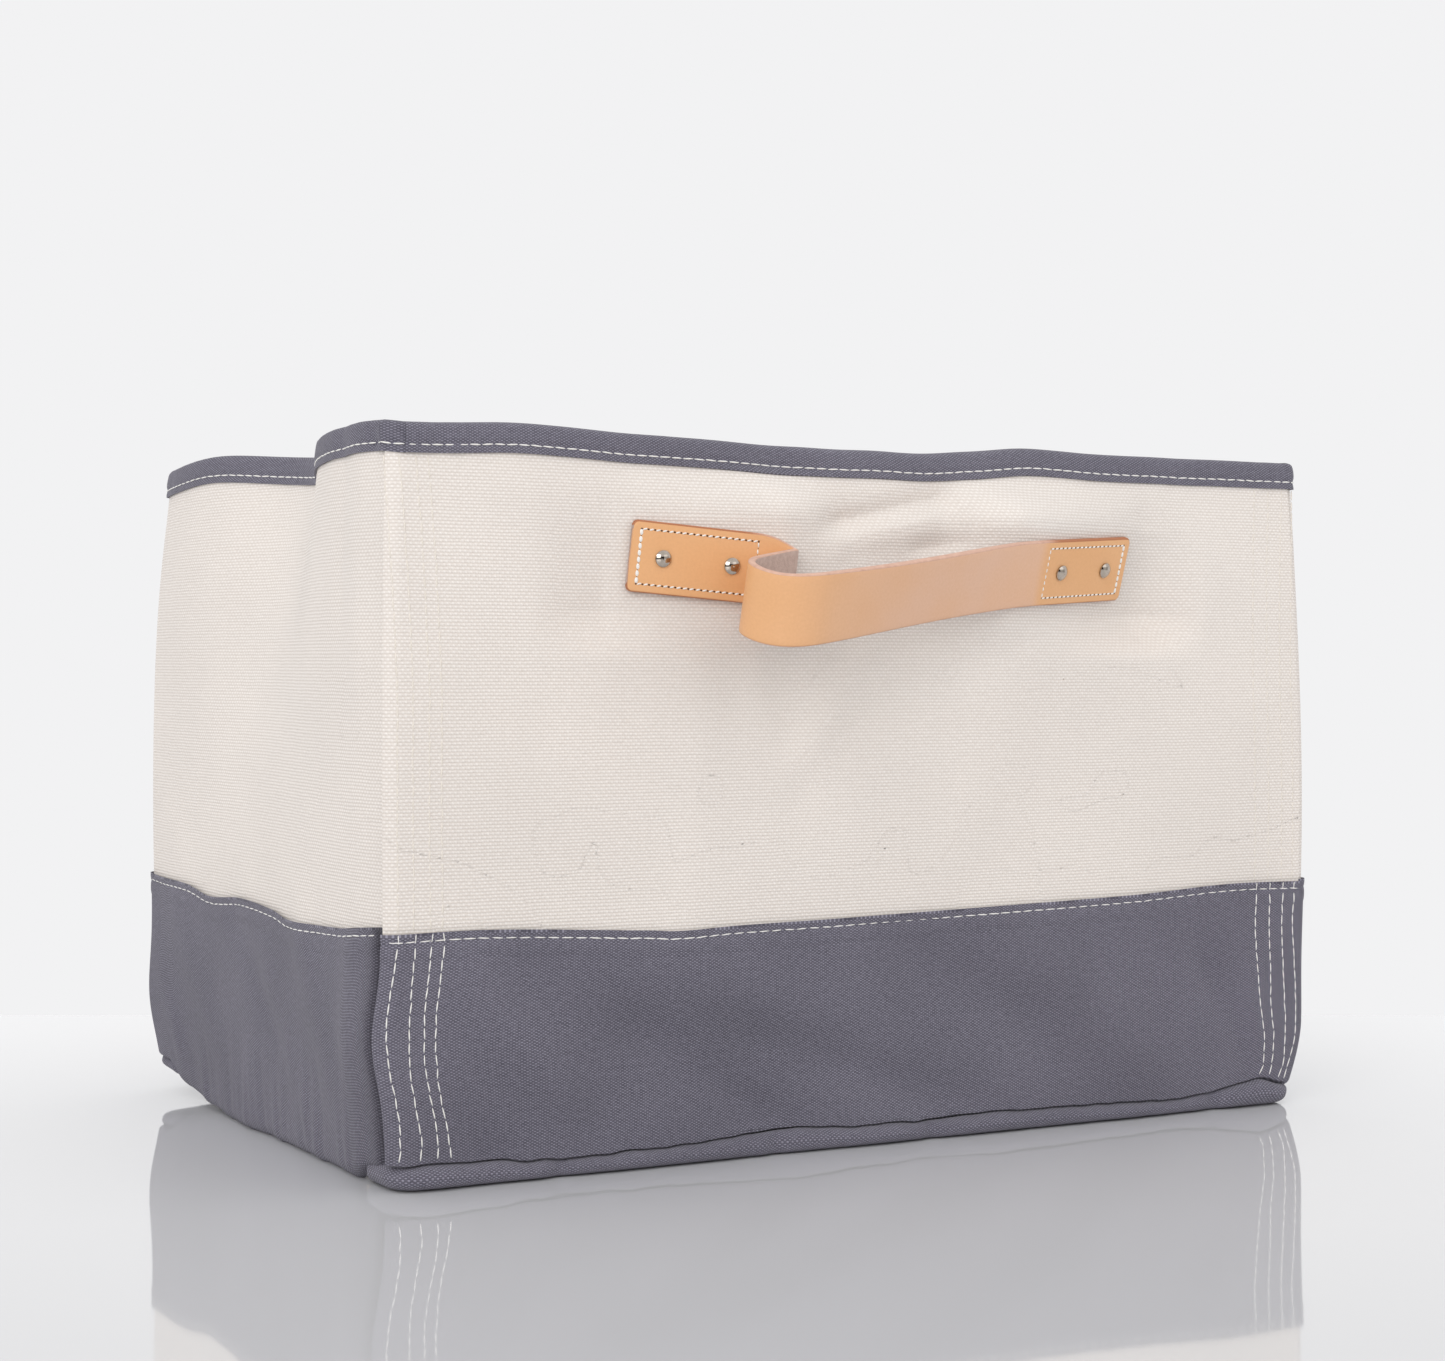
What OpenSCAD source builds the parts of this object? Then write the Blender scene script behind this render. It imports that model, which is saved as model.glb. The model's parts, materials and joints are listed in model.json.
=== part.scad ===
// Fabric storage bin with two leather strap handles.
// Origin: centre of the footprint, on the surface it stands on. X runs along
// the long side, the front wall faces -Y and Z points up. Millimetres.
// The back wall and its handle are the front ones turned half a turn about Z,
// and the right wall is the left one turned the same way.

/* [Body] */
// Width between the corners at the rim
rim_w = 424; // [380:1:440]
// Depth between the corners at the rim
rim_d = 269; // [260:1:278]
// Height to the top of the rim at the corners
bin_h = 280; // [275:1:320]
// Width where the walls stand widest
belly_w = 432; // [428:1:440]
// Depth where the walls stand widest
belly_d = 283; // [278:1:288]
// Height at which the walls stand widest
belly_z = 97; // [85:1:110]
// Width of the walls where they meet the base
foot_w = 425; // [415:1:432]
// Depth of the walls where they meet the base
foot_d = 274; // [268:1:280]
// Radius of the upright corners
corner_r = 6; // [4:0.5:12]

/* [Cloth] */
// Thickness of the natural canvas
canvas_t = 1.2; // [0.8:0.1:2]
// Thickness of the band cloth
band_t = 0.9; // [0.6:0.1:1.4]
// Room between two plies that lie on each other
ply_gap = 0.25; // [0.2:0.05:0.4]
// Width of the side panel's allowance behind the front panel
lap_w = 27; // [22:1:32]
// Height of the band's top edge
band_h = 95; // [80:1:110]

/* [Rim binding] */
// Height of the folded binding strip
binding_h = 11.5; // [9:0.5:16]
// Thickness of the binding cloth
binding_t = 0.8; // [0.5:0.1:1.2]

/* [Base] */
// Height of the rolled edge of the base
roll_h = 9; // [8:0.5:12]
// How far the rolled edge stands out past the walls' foot
roll_out = 3.5; // [2.5:0.5:5]
// Radius of the base's corners seen from above
base_r = 15; // [12:1:24]
// Thickness of the cloth under the board
sole_t = 1.2; // [0.8:0.1:2]
// Thickness of the stiffening board
board_t = 3; // [2:0.5:4]
// Thickness of the cloth that covers the board
lining_t = 0.9; // [0.6:0.1:1.4]

/* [Drape] */
// How far the middle of the front rim leans in
front_bow = 8; // [0:1:16]
// How far the wall stands out between the handle's ends
handle_bulge = 10; // [8:1:13]
// How far the side rim stands out beside its dent
side_flare = 5; // [0:1:8]
// Depth of the dent in the side rim
dent_in = 33; // [0:1:36]
// Place of the dent along the side, from the middle
dent_y = 12; // [-20:1:20]
// Half length of the dent
dent_len = 58; // [44:1:60]
// How far the middle of the front rim sags
rim_sag = 3; // [0:0.5:5]
// How far the band's top edge sags in the middle
band_sag = 3; // [0:0.5:5]

/* [Handle] */
// Width of the leather strap
strap_w = 27.5; // [22:0.5:32]
// Thickness of the leather strap
strap_t = 2.8; // [2:0.1:3.4]
// Place of the handle's middle along the wall
handle_x = 1.5; // [-6:0.5:10]
// Distance between the middles of the two sewn ends
end_gap = 181; // [176:1:200]
// Depth of the middle of the sewn ends below the rim
end_drop = 49; // [44:1:55]
// Length of the stitched box on a sewn end
sewn_l = 48; // [44:1:52]
// How far the wall stands out of line at a sewn end
end_out = 3; // [1:0.5:5]
// Turn of the left sewn end, its inner edge outwards
left_yaw = 8; // [5:1:10]
// Turn of the right sewn end, its inner edge outwards
right_yaw = 15.5; // [12:0.5:18]
// Lean of the left sewn end, its top outwards
left_lean = 5; // [2:0.5:8]
// Lean of the right sewn end, its top outwards
right_lean = 17; // [14:0.5:22]
// Slope of the left sewn end down towards the loop
left_roll = 5; // [2:0.5:6]
// Slope of the right sewn end down towards the loop
right_roll = 3.5; // [2:0.5:5]
// How far the loop hangs below level
droop = 17; // [14:0.5:20]
// Radius of the first, tight bend of the loop
tight_r = 4.5; // [4:0.5:5.5]
// Radius of the second, wide bend of the loop
wide_r = 17; // [15:0.5:19]
// How far the wide bend's middle lies back over the left sewn end
wide_back = 15.5; // [13:0.5:18]
// Reach of the wide bend's middle out of the hinge line
loop_reach = 27.5; // [25:0.5:30]
// Room between the loop and the strap's fixed ends
loop_gap = 0.3; // [0.2:0.05:0.6]

/* [Rivets] */
// Width of a rivet cap
cap_d = 6.4; // [5:0.2:8]
// Height of a rivet cap
cap_h = 1.9; // [1.4:0.1:2.6]
// Width of a rivet post
post_d = 2.4; // [1.8:0.1:3]
// Distance between the two rivets of a sewn end
rivet_gap = 28.3; // [24:0.1:32]
// Clearance of a post in its hole, on the diameter
post_fit = 0.3; // [0.2:0.05:0.5]

/* [Thread] */
// Width of a line of stitching
thread_w = 0.9; // [0.6:0.1:1.2]
// Thickness of a line of stitching
thread_t = 0.4; // [0.3:0.1:0.6]
// Distance of the topstitching from a folded edge
stitch_in = 3; // [2:0.5:4]
// Distance of the first upright row from the front panel's edge
first_row = 5; // [4:0.5:7]
// Distance between the upright rows
row_gap = 6.6; // [6:0.2:7]
// Distance of the handle's stitching from the leather's edge
leather_in = 3.3; // [2.5:0.1:4.5]

/* [Hidden] */

half_turn = [0, 0, 180];
end_z = bin_h - end_drop;
rows = 4;               // upright stitch rows at a seam
bow_from = 150;         // height at which the front wall starts to lean in
dent_from = 80;         // height at which the side wall starts to dent
rise_power = 1.5;

natural = [0.93, 0.89, 0.84];
slate = [0.42, 0.41, 0.47];
leather = [0.86, 0.66, 0.45];
nickel = [0.78, 0.78, 0.80];
cotton = [0.95, 0.94, 0.92];
fibreboard = [0.62, 0.50, 0.38];

lap = ply_gap + canvas_t;              // outer face of the front panel
front_face = lap + ply_gap + band_t;   // outer face of the front band
side_face = ply_gap + band_t;          // outer face of a side band
wall_z = roll_h + ply_gap;             // foot of the walls
strap_half = strap_t / 2;
left_x = handle_x - end_gap / 2;
right_x = handle_x + end_gap / 2;
sole_w = foot_w + 2 * roll_out;
sole_d = foot_d + 2 * roll_out;

// ---------- curves of the walls ----------

function mix(a, b, t) = a + (b - a) * t;
function clip(t) = max(0, min(1, t));
function smooth(t) = pow(clip(t), 2) * (3 - 2 * clip(t));
function bell(t) = exp(-t * t);

// Parabola through the sizes at the foot, the belly and the rim
function through(z, foot, belly, rim) =
    foot * (z - belly_z) * (z - bin_h) / (belly_z * bin_h)
    + belly * z * (z - bin_h) / (belly_z * (belly_z - bin_h))
    + rim * z * (z - belly_z) / (bin_h * (bin_h - belly_z));
function half_w(z) = through(z, foot_w, belly_w, rim_w) / 2;
function half_d(z) = through(z, foot_d, belly_d, rim_d) / 2;
function run_w(z) = half_w(z) - corner_r;
function run_d(z) = half_d(z) - corner_r;

function rise(z, from) = pow(clip((z - from) / (bin_h - from)), rise_power);
// 1 along a wall, 0 at its corners
function fade(s, half) = 1 - pow(clip(abs(s / half)), 6);

// The wall under a sewn end is as flat as the leather on it
end_face = half_d(end_z) + end_out;
room_l = 9;             // flat cloth past the leather
room_h = 4;
flat_l = sewn_l / 2 + leather_in + room_l;
flat_h = strap_w / 2 + room_h;
reach_l = 34;           // cloth that eases from there into the wall's own curve
reach_h = 20;
function held(t, half) = max(-half, min(half, t));
function end_plane(x, z, cx, yaw, lean) =
    end_face - lap + tan(yaw) * held(x - cx, flat_l)
    + tan(lean) / cos(yaw) * held(z - end_z, flat_h);
function end_hold(x, z, cx) =
    (1 - smooth((abs(x - cx) - flat_l) / reach_l))
    * (1 - smooth((abs(z - end_z) - flat_h) / reach_h));

bulge_l = 105;          // half length of the bulge between the sewn ends
bulge_h = 38;           // half height of that bulge
bulge_up = 14;          // its middle above the middle of the sewn ends
function front_soft(x, z) =
    half_d(z) + fade(x, run_w(z)) * (
        handle_bulge * bell((x - handle_x) / bulge_l) * bell((z - end_z - bulge_up) / bulge_h)
        - front_bow * pow(cos(90 * clip(abs(x) / run_w(z))), 2) * rise(z, bow_from));
function front_out(x, z) =
    mix(mix(front_soft(x, z),
            end_plane(x, z, left_x, left_yaw, left_lean), end_hold(x, z, left_x)),
        end_plane(x, z, right_x, -right_yaw, right_lean), end_hold(x, z, right_x));
function side_out(y, z) =
    half_w(z) + fade(y, run_d(z)) * rise(z, dent_from)
    * (side_flare - dent_in * bell((y - dent_y) / dent_len));

// Where each edge sags most, and half the length of that sag
rim_sag_x = -15;
rim_sag_l = 80;
side_sag_y = -10;
side_sag_l = 42;
band_sag_x = -40;
band_sag_l = 110;
low_sag_y = -20;
low_sag_l = 70;
function front_rim(x) = bin_h - rim_sag * bell((x - rim_sag_x) / rim_sag_l);
function side_rim(y) = bin_h - rim_sag * bell((y - side_sag_y) / side_sag_l);
function front_band_top(x) = band_h - band_sag * bell((x - band_sag_x) / band_sag_l);
function side_band_top(y) = band_h - band_sag * bell((y - low_sag_y) / low_sag_l);

// ---------- places along the walls ----------

// A place is [x, y, outward x, outward y]
across = 28;     // steps along the front
flange = 2;      // steps across a seam allowance
arc = 4;         // steps around a corner
along = 16;      // steps along a side
side_steps = 2 * (flange + arc) + along;

function front_at(x, z) = [x, -front_out(x, z), 0, -1];
function front_place(i, z) = front_at(mix(-1, 1, i / across) * (run_w(z) - ply_gap), z);
function side_at(y, z) = [-side_out(y, z), y, -1, 0];
function corner_at(cx, cy, a) =
    [cx + corner_r * cos(a), cy + corner_r * sin(a), cos(a), sin(a)];
function turned(p) = [-p[0], -p[1], -p[2], -p[3]];

// The left panel runs from behind the back panel to behind the front panel
function side_place(i, z) =
    let (k = i - flange, m = side_steps - flange - i)
    k < 0 ? turned(front_at(run_w(z) - lap_w * (1 - i / flange), z))
    : k <= arc ? corner_at(-run_w(z), run_d(z), 90 + 90 * k / arc)
    : m < 0 ? front_at(-run_w(z) - lap_w * m / flange, z)
    : m <= arc ? corner_at(-run_w(z), -run_d(z), 270 - 90 * m / arc)
    : side_at(mix(1, -1, (k - arc) / along) * run_d(z), z);

// Places around the whole rim, and how far each one lies on a front lap
half_ring = across + 2 * arc + along;
function ring_place(i, z) =
    i >= half_ring ? turned(ring_place(i - half_ring, z))
    : i < across ? front_place(i, z)
    : turned(side_place(i - across + flange, z));
function ring_share(i) =
    i >= half_ring ? ring_share(i - half_ring)
    : i < across ? 1
    : clip(max(across + arc - i, i - half_ring + arc) / arc);
// Height of a line that follows one wave on the fronts, another on the sides
function ring_line(i, front_line, side_line) =
    i >= half_ring ? ring_line(i - half_ring, front_line, side_line)
    : i < across ? front_line(ring_place(i, bin_h)[0])
    : side_line(-ring_place(i, bin_h)[1]);

function point(p, off, z) = [p[0] + p[2] * off, p[1] + p[3] * off, z];

// ---------- meshes ----------

// Skin over closed sections, each listed up its outer face and down its inner.
// The diagonals rise along the wall, so that layers of cloth lie parallel.
module skin(sections, closed = false) {
    n = len(sections[0]);
    m = len(sections);
    sides = [for (i = [0:m - (closed ? 1 : 2)]) for (k = [0:n - 1])
        let (a = i * n + k, b = i * n + (k + 1) % n,
             c = (i + 1) % m * n + (k + 1) % n, d = (i + 1) % m * n + k,
             rising = sections[i][(k + 1) % n][2] > sections[i][k][2])
        each rising ? [[a, b, c], [a, c, d]] : [[a, b, d], [b, c, d]]];
    last = (m - 1) * n;
    ends = [for (j = [0:n / 2 - 2]) each [
        [j, n - 1 - j, n - 2 - j],
        [j, n - 2 - j, j + 1],
        [last + j, last + j + 1, last + n - 2 - j],
        [last + j, last + n - 2 - j, last + n - 1 - j]]];
    polyhedron([for (s = sections) each s], closed ? sides : concat(sides, ends));
}

// Cloth along a wall from its foot up to a wavy top edge, whose last level
// is the strip that a binding covers or a seam holds down
module cloth(place, steps, off, t, top, strip, levels) {
    skin([for (i = [0:steps])
        let (edge = top(place(i, bin_h)),
             z = function(j) j == levels ? edge : mix(wall_z, edge - strip, j / (levels - 1)))
        concat([for (j = [0:levels]) point(place(i, z(j)), off + t, z(j))],
               [for (j = [levels:-1:0]) point(place(i, z(j)), off, z(j))])]);
}

module front_cloth(off, t, top, strip, levels) {
    cloth(function(i, z) front_place(i, z), across, off, t,
          function(p) top(p[0]), strip, levels);
}

// The side's top edge keeps its corner height across the seam allowances
module side_cloth(steps, skip, off, t, top, strip, levels) {
    cloth(function(i, z) side_place(i + skip, z), steps, off, t,
          function(p) top(p[1]), strip, levels);
}

// A line of stitching around the whole bin: on(i) is [place, height, how far
// the face under the thread stands out of the wall's own place]
module thread_ring(on) {
    skin([for (i = [0:2 * half_ring - 1])
        let (s = on(i), off = s[2] + ply_gap)
        [point(s[0], off + thread_t, s[1] - thread_w / 2),
         point(s[0], off + thread_t, s[1] + thread_w / 2),
         point(s[0], off, s[1] + thread_w / 2),
         point(s[0], off, s[1] - thread_w / 2)]], closed = true);
}

// ---------- cloth walls ----------

cloth_top = binding_t + ply_gap;       // how far the walls end below the rim
tucked = binding_h - cloth_top;        // how far they run up inside the binding

module front_wall() {
    difference() {
        front_cloth(ply_gap, canvas_t, function(x) front_rim(x) - cloth_top, tucked, 20);
        at_left_end() post_holes();
        at_right_end() post_holes();
    }
}
module side_wall() {
    side_cloth(side_steps, 0, -canvas_t, canvas_t,
               function(y) side_rim(y) - cloth_top, tucked, 12);
}
module front_strip() {
    front_cloth(lap + ply_gap, band_t, function(x) front_band_top(x), stitch_in, 5);
}
module side_strip() {
    side_cloth(side_steps - 2 * flange, flange, ply_gap, band_t,
               function(y) side_band_top(y), stitch_in, 5);
}

module front_panel() color(natural) front_wall();
module back_panel() color(natural) rotate(half_turn) front_wall();
module left_panel() color(natural) side_wall();
module right_panel() color(natural) rotate(half_turn) side_wall();
module front_band() color(slate) front_strip();
module back_band() color(slate) rotate(half_turn) front_strip();
module left_band() color(slate) side_strip();
module right_band() color(slate) rotate(half_turn) side_strip();

// ---------- base ----------

tray_in = roll_h + 1;                  // width of the rolled edge
tray_r = base_r - roll_h / 2;

module rounded_plate(w, d, r, t) {
    linear_extrude(t) hull() {
        for (x = [-1, 1], y = [-1, 1]) {
            translate([x * (w / 2 - r), y * (d / 2 - r)]) circle(r, $fn = 48);
        }
    }
}
module tray_plate(room, t) {
    rounded_plate(sole_w - 2 * (tray_in + room), sole_d - 2 * (tray_in + room), tray_r, t);
}

module base_panel() color(slate) {
    difference() {
        hull() {
            for (x = [-1, 1], y = [-1, 1]) {
                translate([x * (sole_w / 2 - base_r), y * (sole_d / 2 - base_r), roll_h / 2])
                rotate_extrude($fn = 32)
                translate([base_r - roll_h / 2, 0])
                circle(d = roll_h, $fn = 16);
            }
        }
        translate([0, 0, sole_t]) tray_plate(0, roll_h);
    }
}
module base_board() color(fibreboard) {
    translate([0, 0, sole_t + ply_gap]) tray_plate(ply_gap, board_t);
}
module base_lining() color(natural) {
    translate([0, 0, sole_t + 2 * ply_gap + board_t]) tray_plate(ply_gap, lining_t);
}

// ---------- rim binding and wall stitching ----------

binding_round = 1;

function rim_line(i) = ring_line(i, function(x) front_rim(x), function(y) side_rim(y));
function band_line(i) =
    ring_line(i, function(x) front_band_top(x), function(y) side_band_top(y));
function bound_face(i) = lap * ring_share(i) + ply_gap + binding_t;

module rim_binding() color(slate) {
    skin([for (i = [0:2 * half_ring - 1])
        let (top = rim_line(i), low = top - binding_h,
             p = ring_place(i, top - cloth_top), q = ring_place(i, low),
             a = bound_face(i), b = -canvas_t - ply_gap - binding_t)
        [point(q, a, low),
         point(p, a, top - binding_round),
         point(p, a - binding_round, top),
         point(p, b + binding_round, top),
         point(p, b, top - binding_round),
         point(q, b, low),
         point(q, b + binding_t, low),
         point(p, b + binding_t, top - binding_t),
         point(p, a - binding_t, top - binding_t),
         point(q, a - binding_t, low)]], closed = true);
}
module rim_thread() color(cotton) {
    share = stitch_in / (binding_h - binding_round);
    thread_ring(function(i) let (top = rim_line(i), low = top - binding_h)
        [mix(ring_place(i, low), ring_place(i, top - cloth_top), share),
         low + stitch_in, bound_face(i)]);
}
module band_thread() color(cotton) {
    thread_ring(function(i) let (z = band_line(i) - stitch_in)
        [ring_place(i, z), z, mix(side_face, front_face, ring_share(i))]);
}

// One upright row: up the band, over its edge and up the canvas
module upright_row(x) {
    band_top = front_band_top(x) - stitch_in - thread_w;
    wall_top = front_rim(x) - binding_h - ply_gap;
    skirt = 0.5;
    heights = concat([for (k = [0:4]) mix(wall_z + stitch_in, band_top, k / 4)],
                     [for (k = [0:8]) mix(band_top + stitch_in + 2 * thread_w + skirt,
                                          wall_top, k / 8)]);
    for (part = [[0, 4, front_face], [5, 13, lap]]) {
        skin([for (side = [-1, 1])
            let (off = part[2] + ply_gap,
                 at = function(k, o) point(front_at(x + side * thread_w / 2, heights[k]),
                                           o, heights[k]))
            concat([for (k = [part[0]:part[1]]) at(k, off + thread_t)],
                   [for (k = [part[1]:-1:part[0]]) at(k, off)])]);
    }
}
module corner_thread() color(cotton) {
    edge = run_w(wall_z) - first_row;
    for (turn = [[0, 0, 0], half_turn], side = [-1, 1], row = [0:rows - 1]) {
        rotate(turn) upright_row(side * (edge - row * row_gap));
    }
}

// ---------- handle ----------

// The strap is one piece of leather: its sewn ends stay on the wall, and the
// loop between them swings on a line that passes through both its necks.

bend_run = 7.5;         // straight stretch before the tight bend
tight_turn = 131;       // how far the tight bend turns
neck_in = 1.5;          // leather between the stitching and a neck
neck_rise = 3;          // slope of the right neck away from its sewn end
corner_round = 2;       // radius of the corners of a sewn end
neck_spare = 3;         // length of neck that the cut takes off

plate_out = sewn_l / 2 + leather_in;
plate_in = sewn_l / 2 + neck_in;

module at_end(cx, yaw, lean, roll) {
    translate([cx, -(end_face + ply_gap), end_z])
    rotate([0, 0, -yaw]) rotate([lean, 0, 0]) rotate([0, roll, 0])
    children();
}
module at_left_end() at_end(left_x, left_yaw, left_lean, left_roll) children();
module at_right_end() at_end(right_x, -right_yaw, right_lean, -right_roll) children();

// Where the tight bend ends, along and out of the left sewn end
bend_x = plate_in + bend_run + tight_r * sin(tight_turn);
bend_out = strap_half + tight_r * (1 - cos(tight_turn));
// The hinge line passes through that point
hinge_out = end_face + ply_gap + bend_x * sin(left_yaw)
    + bend_out * cos(left_lean) * cos(left_yaw);
hinge_z = end_z - bend_out * sin(left_lean) - bend_x * sin(left_roll);
left_neck_x = left_x + bend_x * cos(left_yaw) - bend_out * cos(left_lean) * sin(left_yaw);
// The right neck is as long as it takes to come out to the hinge line
neck_tilt = cos(right_lean) * cos(right_yaw);
neck_l = (hinge_out - end_face - ply_gap - plate_in * sin(right_yaw) - strap_half * neck_tilt)
    / (sin(right_yaw) + sin(neck_rise) * neck_tilt);
neck_out = strap_half + neck_l * sin(neck_rise);
right_neck_x = right_x - (plate_in + neck_l) * cos(right_yaw)
    + neck_out * cos(right_lean) * sin(right_yaw);

// Outline of a strap that follows a path of [x, out, heading]
function edge_of(path, side) =
    [for (p = path)
        [p[0] - side * strap_half * sin(p[2]), p[1] + side * strap_half * cos(p[2])]];
function outline(near, far) = concat(near, [for (i = [len(far) - 1:-1:0]) far[i]]);
// In the frame of a sewn end, the path's second value points out of the wall
module flat_strap(path) {
    rotate([180, 0, 0]) linear_extrude(strap_w, center = true)
    polygon(outline(edge_of(path, 1), edge_of(path, -1)));
}

bend_steps = 12;
function bend_path() =
    concat([[plate_in - neck_in, strap_half, 0]],
           [for (k = [0:bend_steps])
               let (a = tight_turn * k / bend_steps)
               [plate_in + bend_run + tight_r * sin(a),
                strap_half + tight_r * (1 - cos(a)), a]],
           [[bend_x + neck_spare * cos(tight_turn),
             bend_out + neck_spare * sin(tight_turn), tight_turn]]);
function neck_path() =
    let (l = neck_l + neck_spare)
    [[-plate_in - l * cos(neck_rise), strap_half + l * sin(neck_rise), -neck_rise],
     [-plate_in, strap_half, -neck_rise / 2],
     [-plate_in + neck_in, strap_half, 0]];

// A loop of two straight runs around the wide bend
wide_at = [left_neck_x - wide_back, loop_reach];
in_run = let (run = wide_at - [left_neck_x, 0])
    atan2(run[1], run[0]) + asin(wide_r / norm(run));
out_run = let (run = [right_neck_x, 0] - wide_at)
    atan2(run[1], run[0]) - asin(wide_r / norm(run));
wide_steps = 16;
wide_bend = [for (k = [0:wide_steps])
    let (a = mix(in_run, out_run, k / wide_steps))
    [wide_at[0] - wide_r * sin(a), wide_at[1] + wide_r * cos(a), a]];
// Both ends of the loop are cut square to the hinge line
function loop_edge(side) =
    concat([[left_neck_x - loop_gap, side * strap_half / cos(in_run)]],
           edge_of(wide_bend, side),
           [[right_neck_x - loop_gap, side * strap_half / cos(out_run)]]);

// One sewn end, with its rounded corners on the side away from the loop
module sewn_plate(side) {
    rotate([90, 0, 0]) linear_extrude(strap_t) difference() {
        hull() {
            for (z = [-1, 1]) {
                translate([side * (corner_round - plate_out), z * (strap_w / 2 - corner_round)])
                circle(corner_round, $fn = 24);
            }
            translate([side * (plate_in - neck_in / 2), 0])
            square([neck_in, strap_w], center = true);
        }
        for (x = [-1, 1]) {
            translate([x * rivet_gap / 2, 0]) circle(d = post_d + post_fit, $fn = 32);
        }
    }
}
module post_holes() {
    for (x = [-1, 1]) {
        translate([x * rivet_gap / 2, 0, 0]) rotate([90, 0, 0])
        cylinder(h = 6 * strap_t, d = post_d + post_fit, center = true, $fn = 32);
    }
}
module left_end() color(leather) difference() {
    at_left_end() {
        sewn_plate(1);
        flat_strap(bend_path());
    }
    translate([left_neck_x - 2 * neck_spare, -hinge_out, hinge_z]) rotate([left_lean, 0, 0])
    translate([0, -strap_w, -strap_w]) cube([2 * neck_spare, strap_w + tight_r, 2 * strap_w]);
}
module right_end() color(leather) difference() {
    at_right_end() {
        sewn_plate(-1);
        flat_strap(neck_path());
    }
    translate([right_neck_x - 2 * neck_spare, -hinge_out - strap_w, hinge_z - strap_w])
    cube([2 * neck_spare, 2 * strap_w, 2 * strap_w]);
}
module loop() color(leather) {
    translate([0, -hinge_out, hinge_z]) rotate([180 + droop, 0, 0])
    linear_extrude(strap_w, center = true)
    polygon(outline(loop_edge(1), loop_edge(-1)));
}

// The stitching of a sewn end is one closed box
module box_thread() {
    translate([0, -strap_t, 0]) rotate([90, 0, 0]) linear_extrude(thread_t) difference() {
        box = [sewn_l, strap_w - 2 * leather_in];
        square(box + [thread_w, thread_w], center = true);
        square(box - [thread_w, thread_w], center = true);
    }
}
module handle_thread() color(cotton) {
    at_left_end() box_thread();
    at_right_end() box_thread();
}

cap_rim = 0.5;          // straight edge of a rivet cap
back_h = 1.2;           // height of the rivet's back
hold = ply_gap + canvas_t;             // cloth and room behind the leather
dome_h = cap_h - cap_rim;
dome_r = (pow(cap_d / 2, 2) + pow(dome_h, 2)) / (2 * dome_h);

module rivet() {
    translate([0, -strap_t, 0]) rotate([90, 0, 0]) {
        cylinder(h = cap_rim, d = cap_d, $fn = 48);
        translate([0, 0, cap_rim]) rotate_extrude($fn = 48) intersection() {
            translate([0, dome_h - dome_r]) circle(dome_r, $fn = 96);
            square([cap_d / 2, dome_h]);
        }
    }
    translate([0, hold, 0]) rotate([90, 0, 0])
    cylinder(h = hold + strap_t, d = post_d, $fn = 32);
}
module rivet_back() {
    translate([0, hold, 0]) rotate([-90, 0, 0]) cylinder(h = back_h, d = cap_d, $fn = 48);
}
module rivet_pair() {
    for (x = [-1, 1]) {
        translate([x * rivet_gap / 2, 0, 0]) children();
    }
}
module rivets() color(nickel) {
    at_left_end() rivet_pair() rivet();
    at_right_end() rivet_pair() rivet();
}
module rivet_backs() color(nickel) {
    at_left_end() rivet_pair() rivet_back();
    at_right_end() rivet_pair() rivet_back();
}

module front_handle_left_end() left_end();
module front_handle_right_end() right_end();
module front_handle_loop() loop();
module front_handle_thread() handle_thread();
module front_handle_rivets() rivets();
module front_handle_rivet_backs() rivet_backs();
module back_handle_left_end() rotate(half_turn) left_end();
module back_handle_right_end() rotate(half_turn) right_end();
module back_handle_loop() rotate(half_turn) loop();
module back_handle_thread() rotate(half_turn) handle_thread();
module back_handle_rivets() rotate(half_turn) rivets();
module back_handle_rivet_backs() rotate(half_turn) rivet_backs();

front_panel();
back_panel();
left_panel();
right_panel();
front_band();
back_band();
left_band();
right_band();
base_panel();
base_board();
base_lining();
rim_binding();
rim_thread();
band_thread();
corner_thread();
front_handle_left_end();
front_handle_right_end();
front_handle_loop();
front_handle_thread();
front_handle_rivets();
front_handle_rivet_backs();
back_handle_left_end();
back_handle_right_end();
back_handle_loop();
back_handle_thread();
back_handle_rivets();
back_handle_rivet_backs();
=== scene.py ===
"""Fabric storage bin: natural canvas walls, a slate band and base, and leather strap handles."""

import json
import random
from math import asin, atan2, ceil, copysign, cos, exp, hypot, pi, radians, sin, sqrt, tan

import bmesh
import bpy
from mathutils import Matrix, Vector, noise


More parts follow.
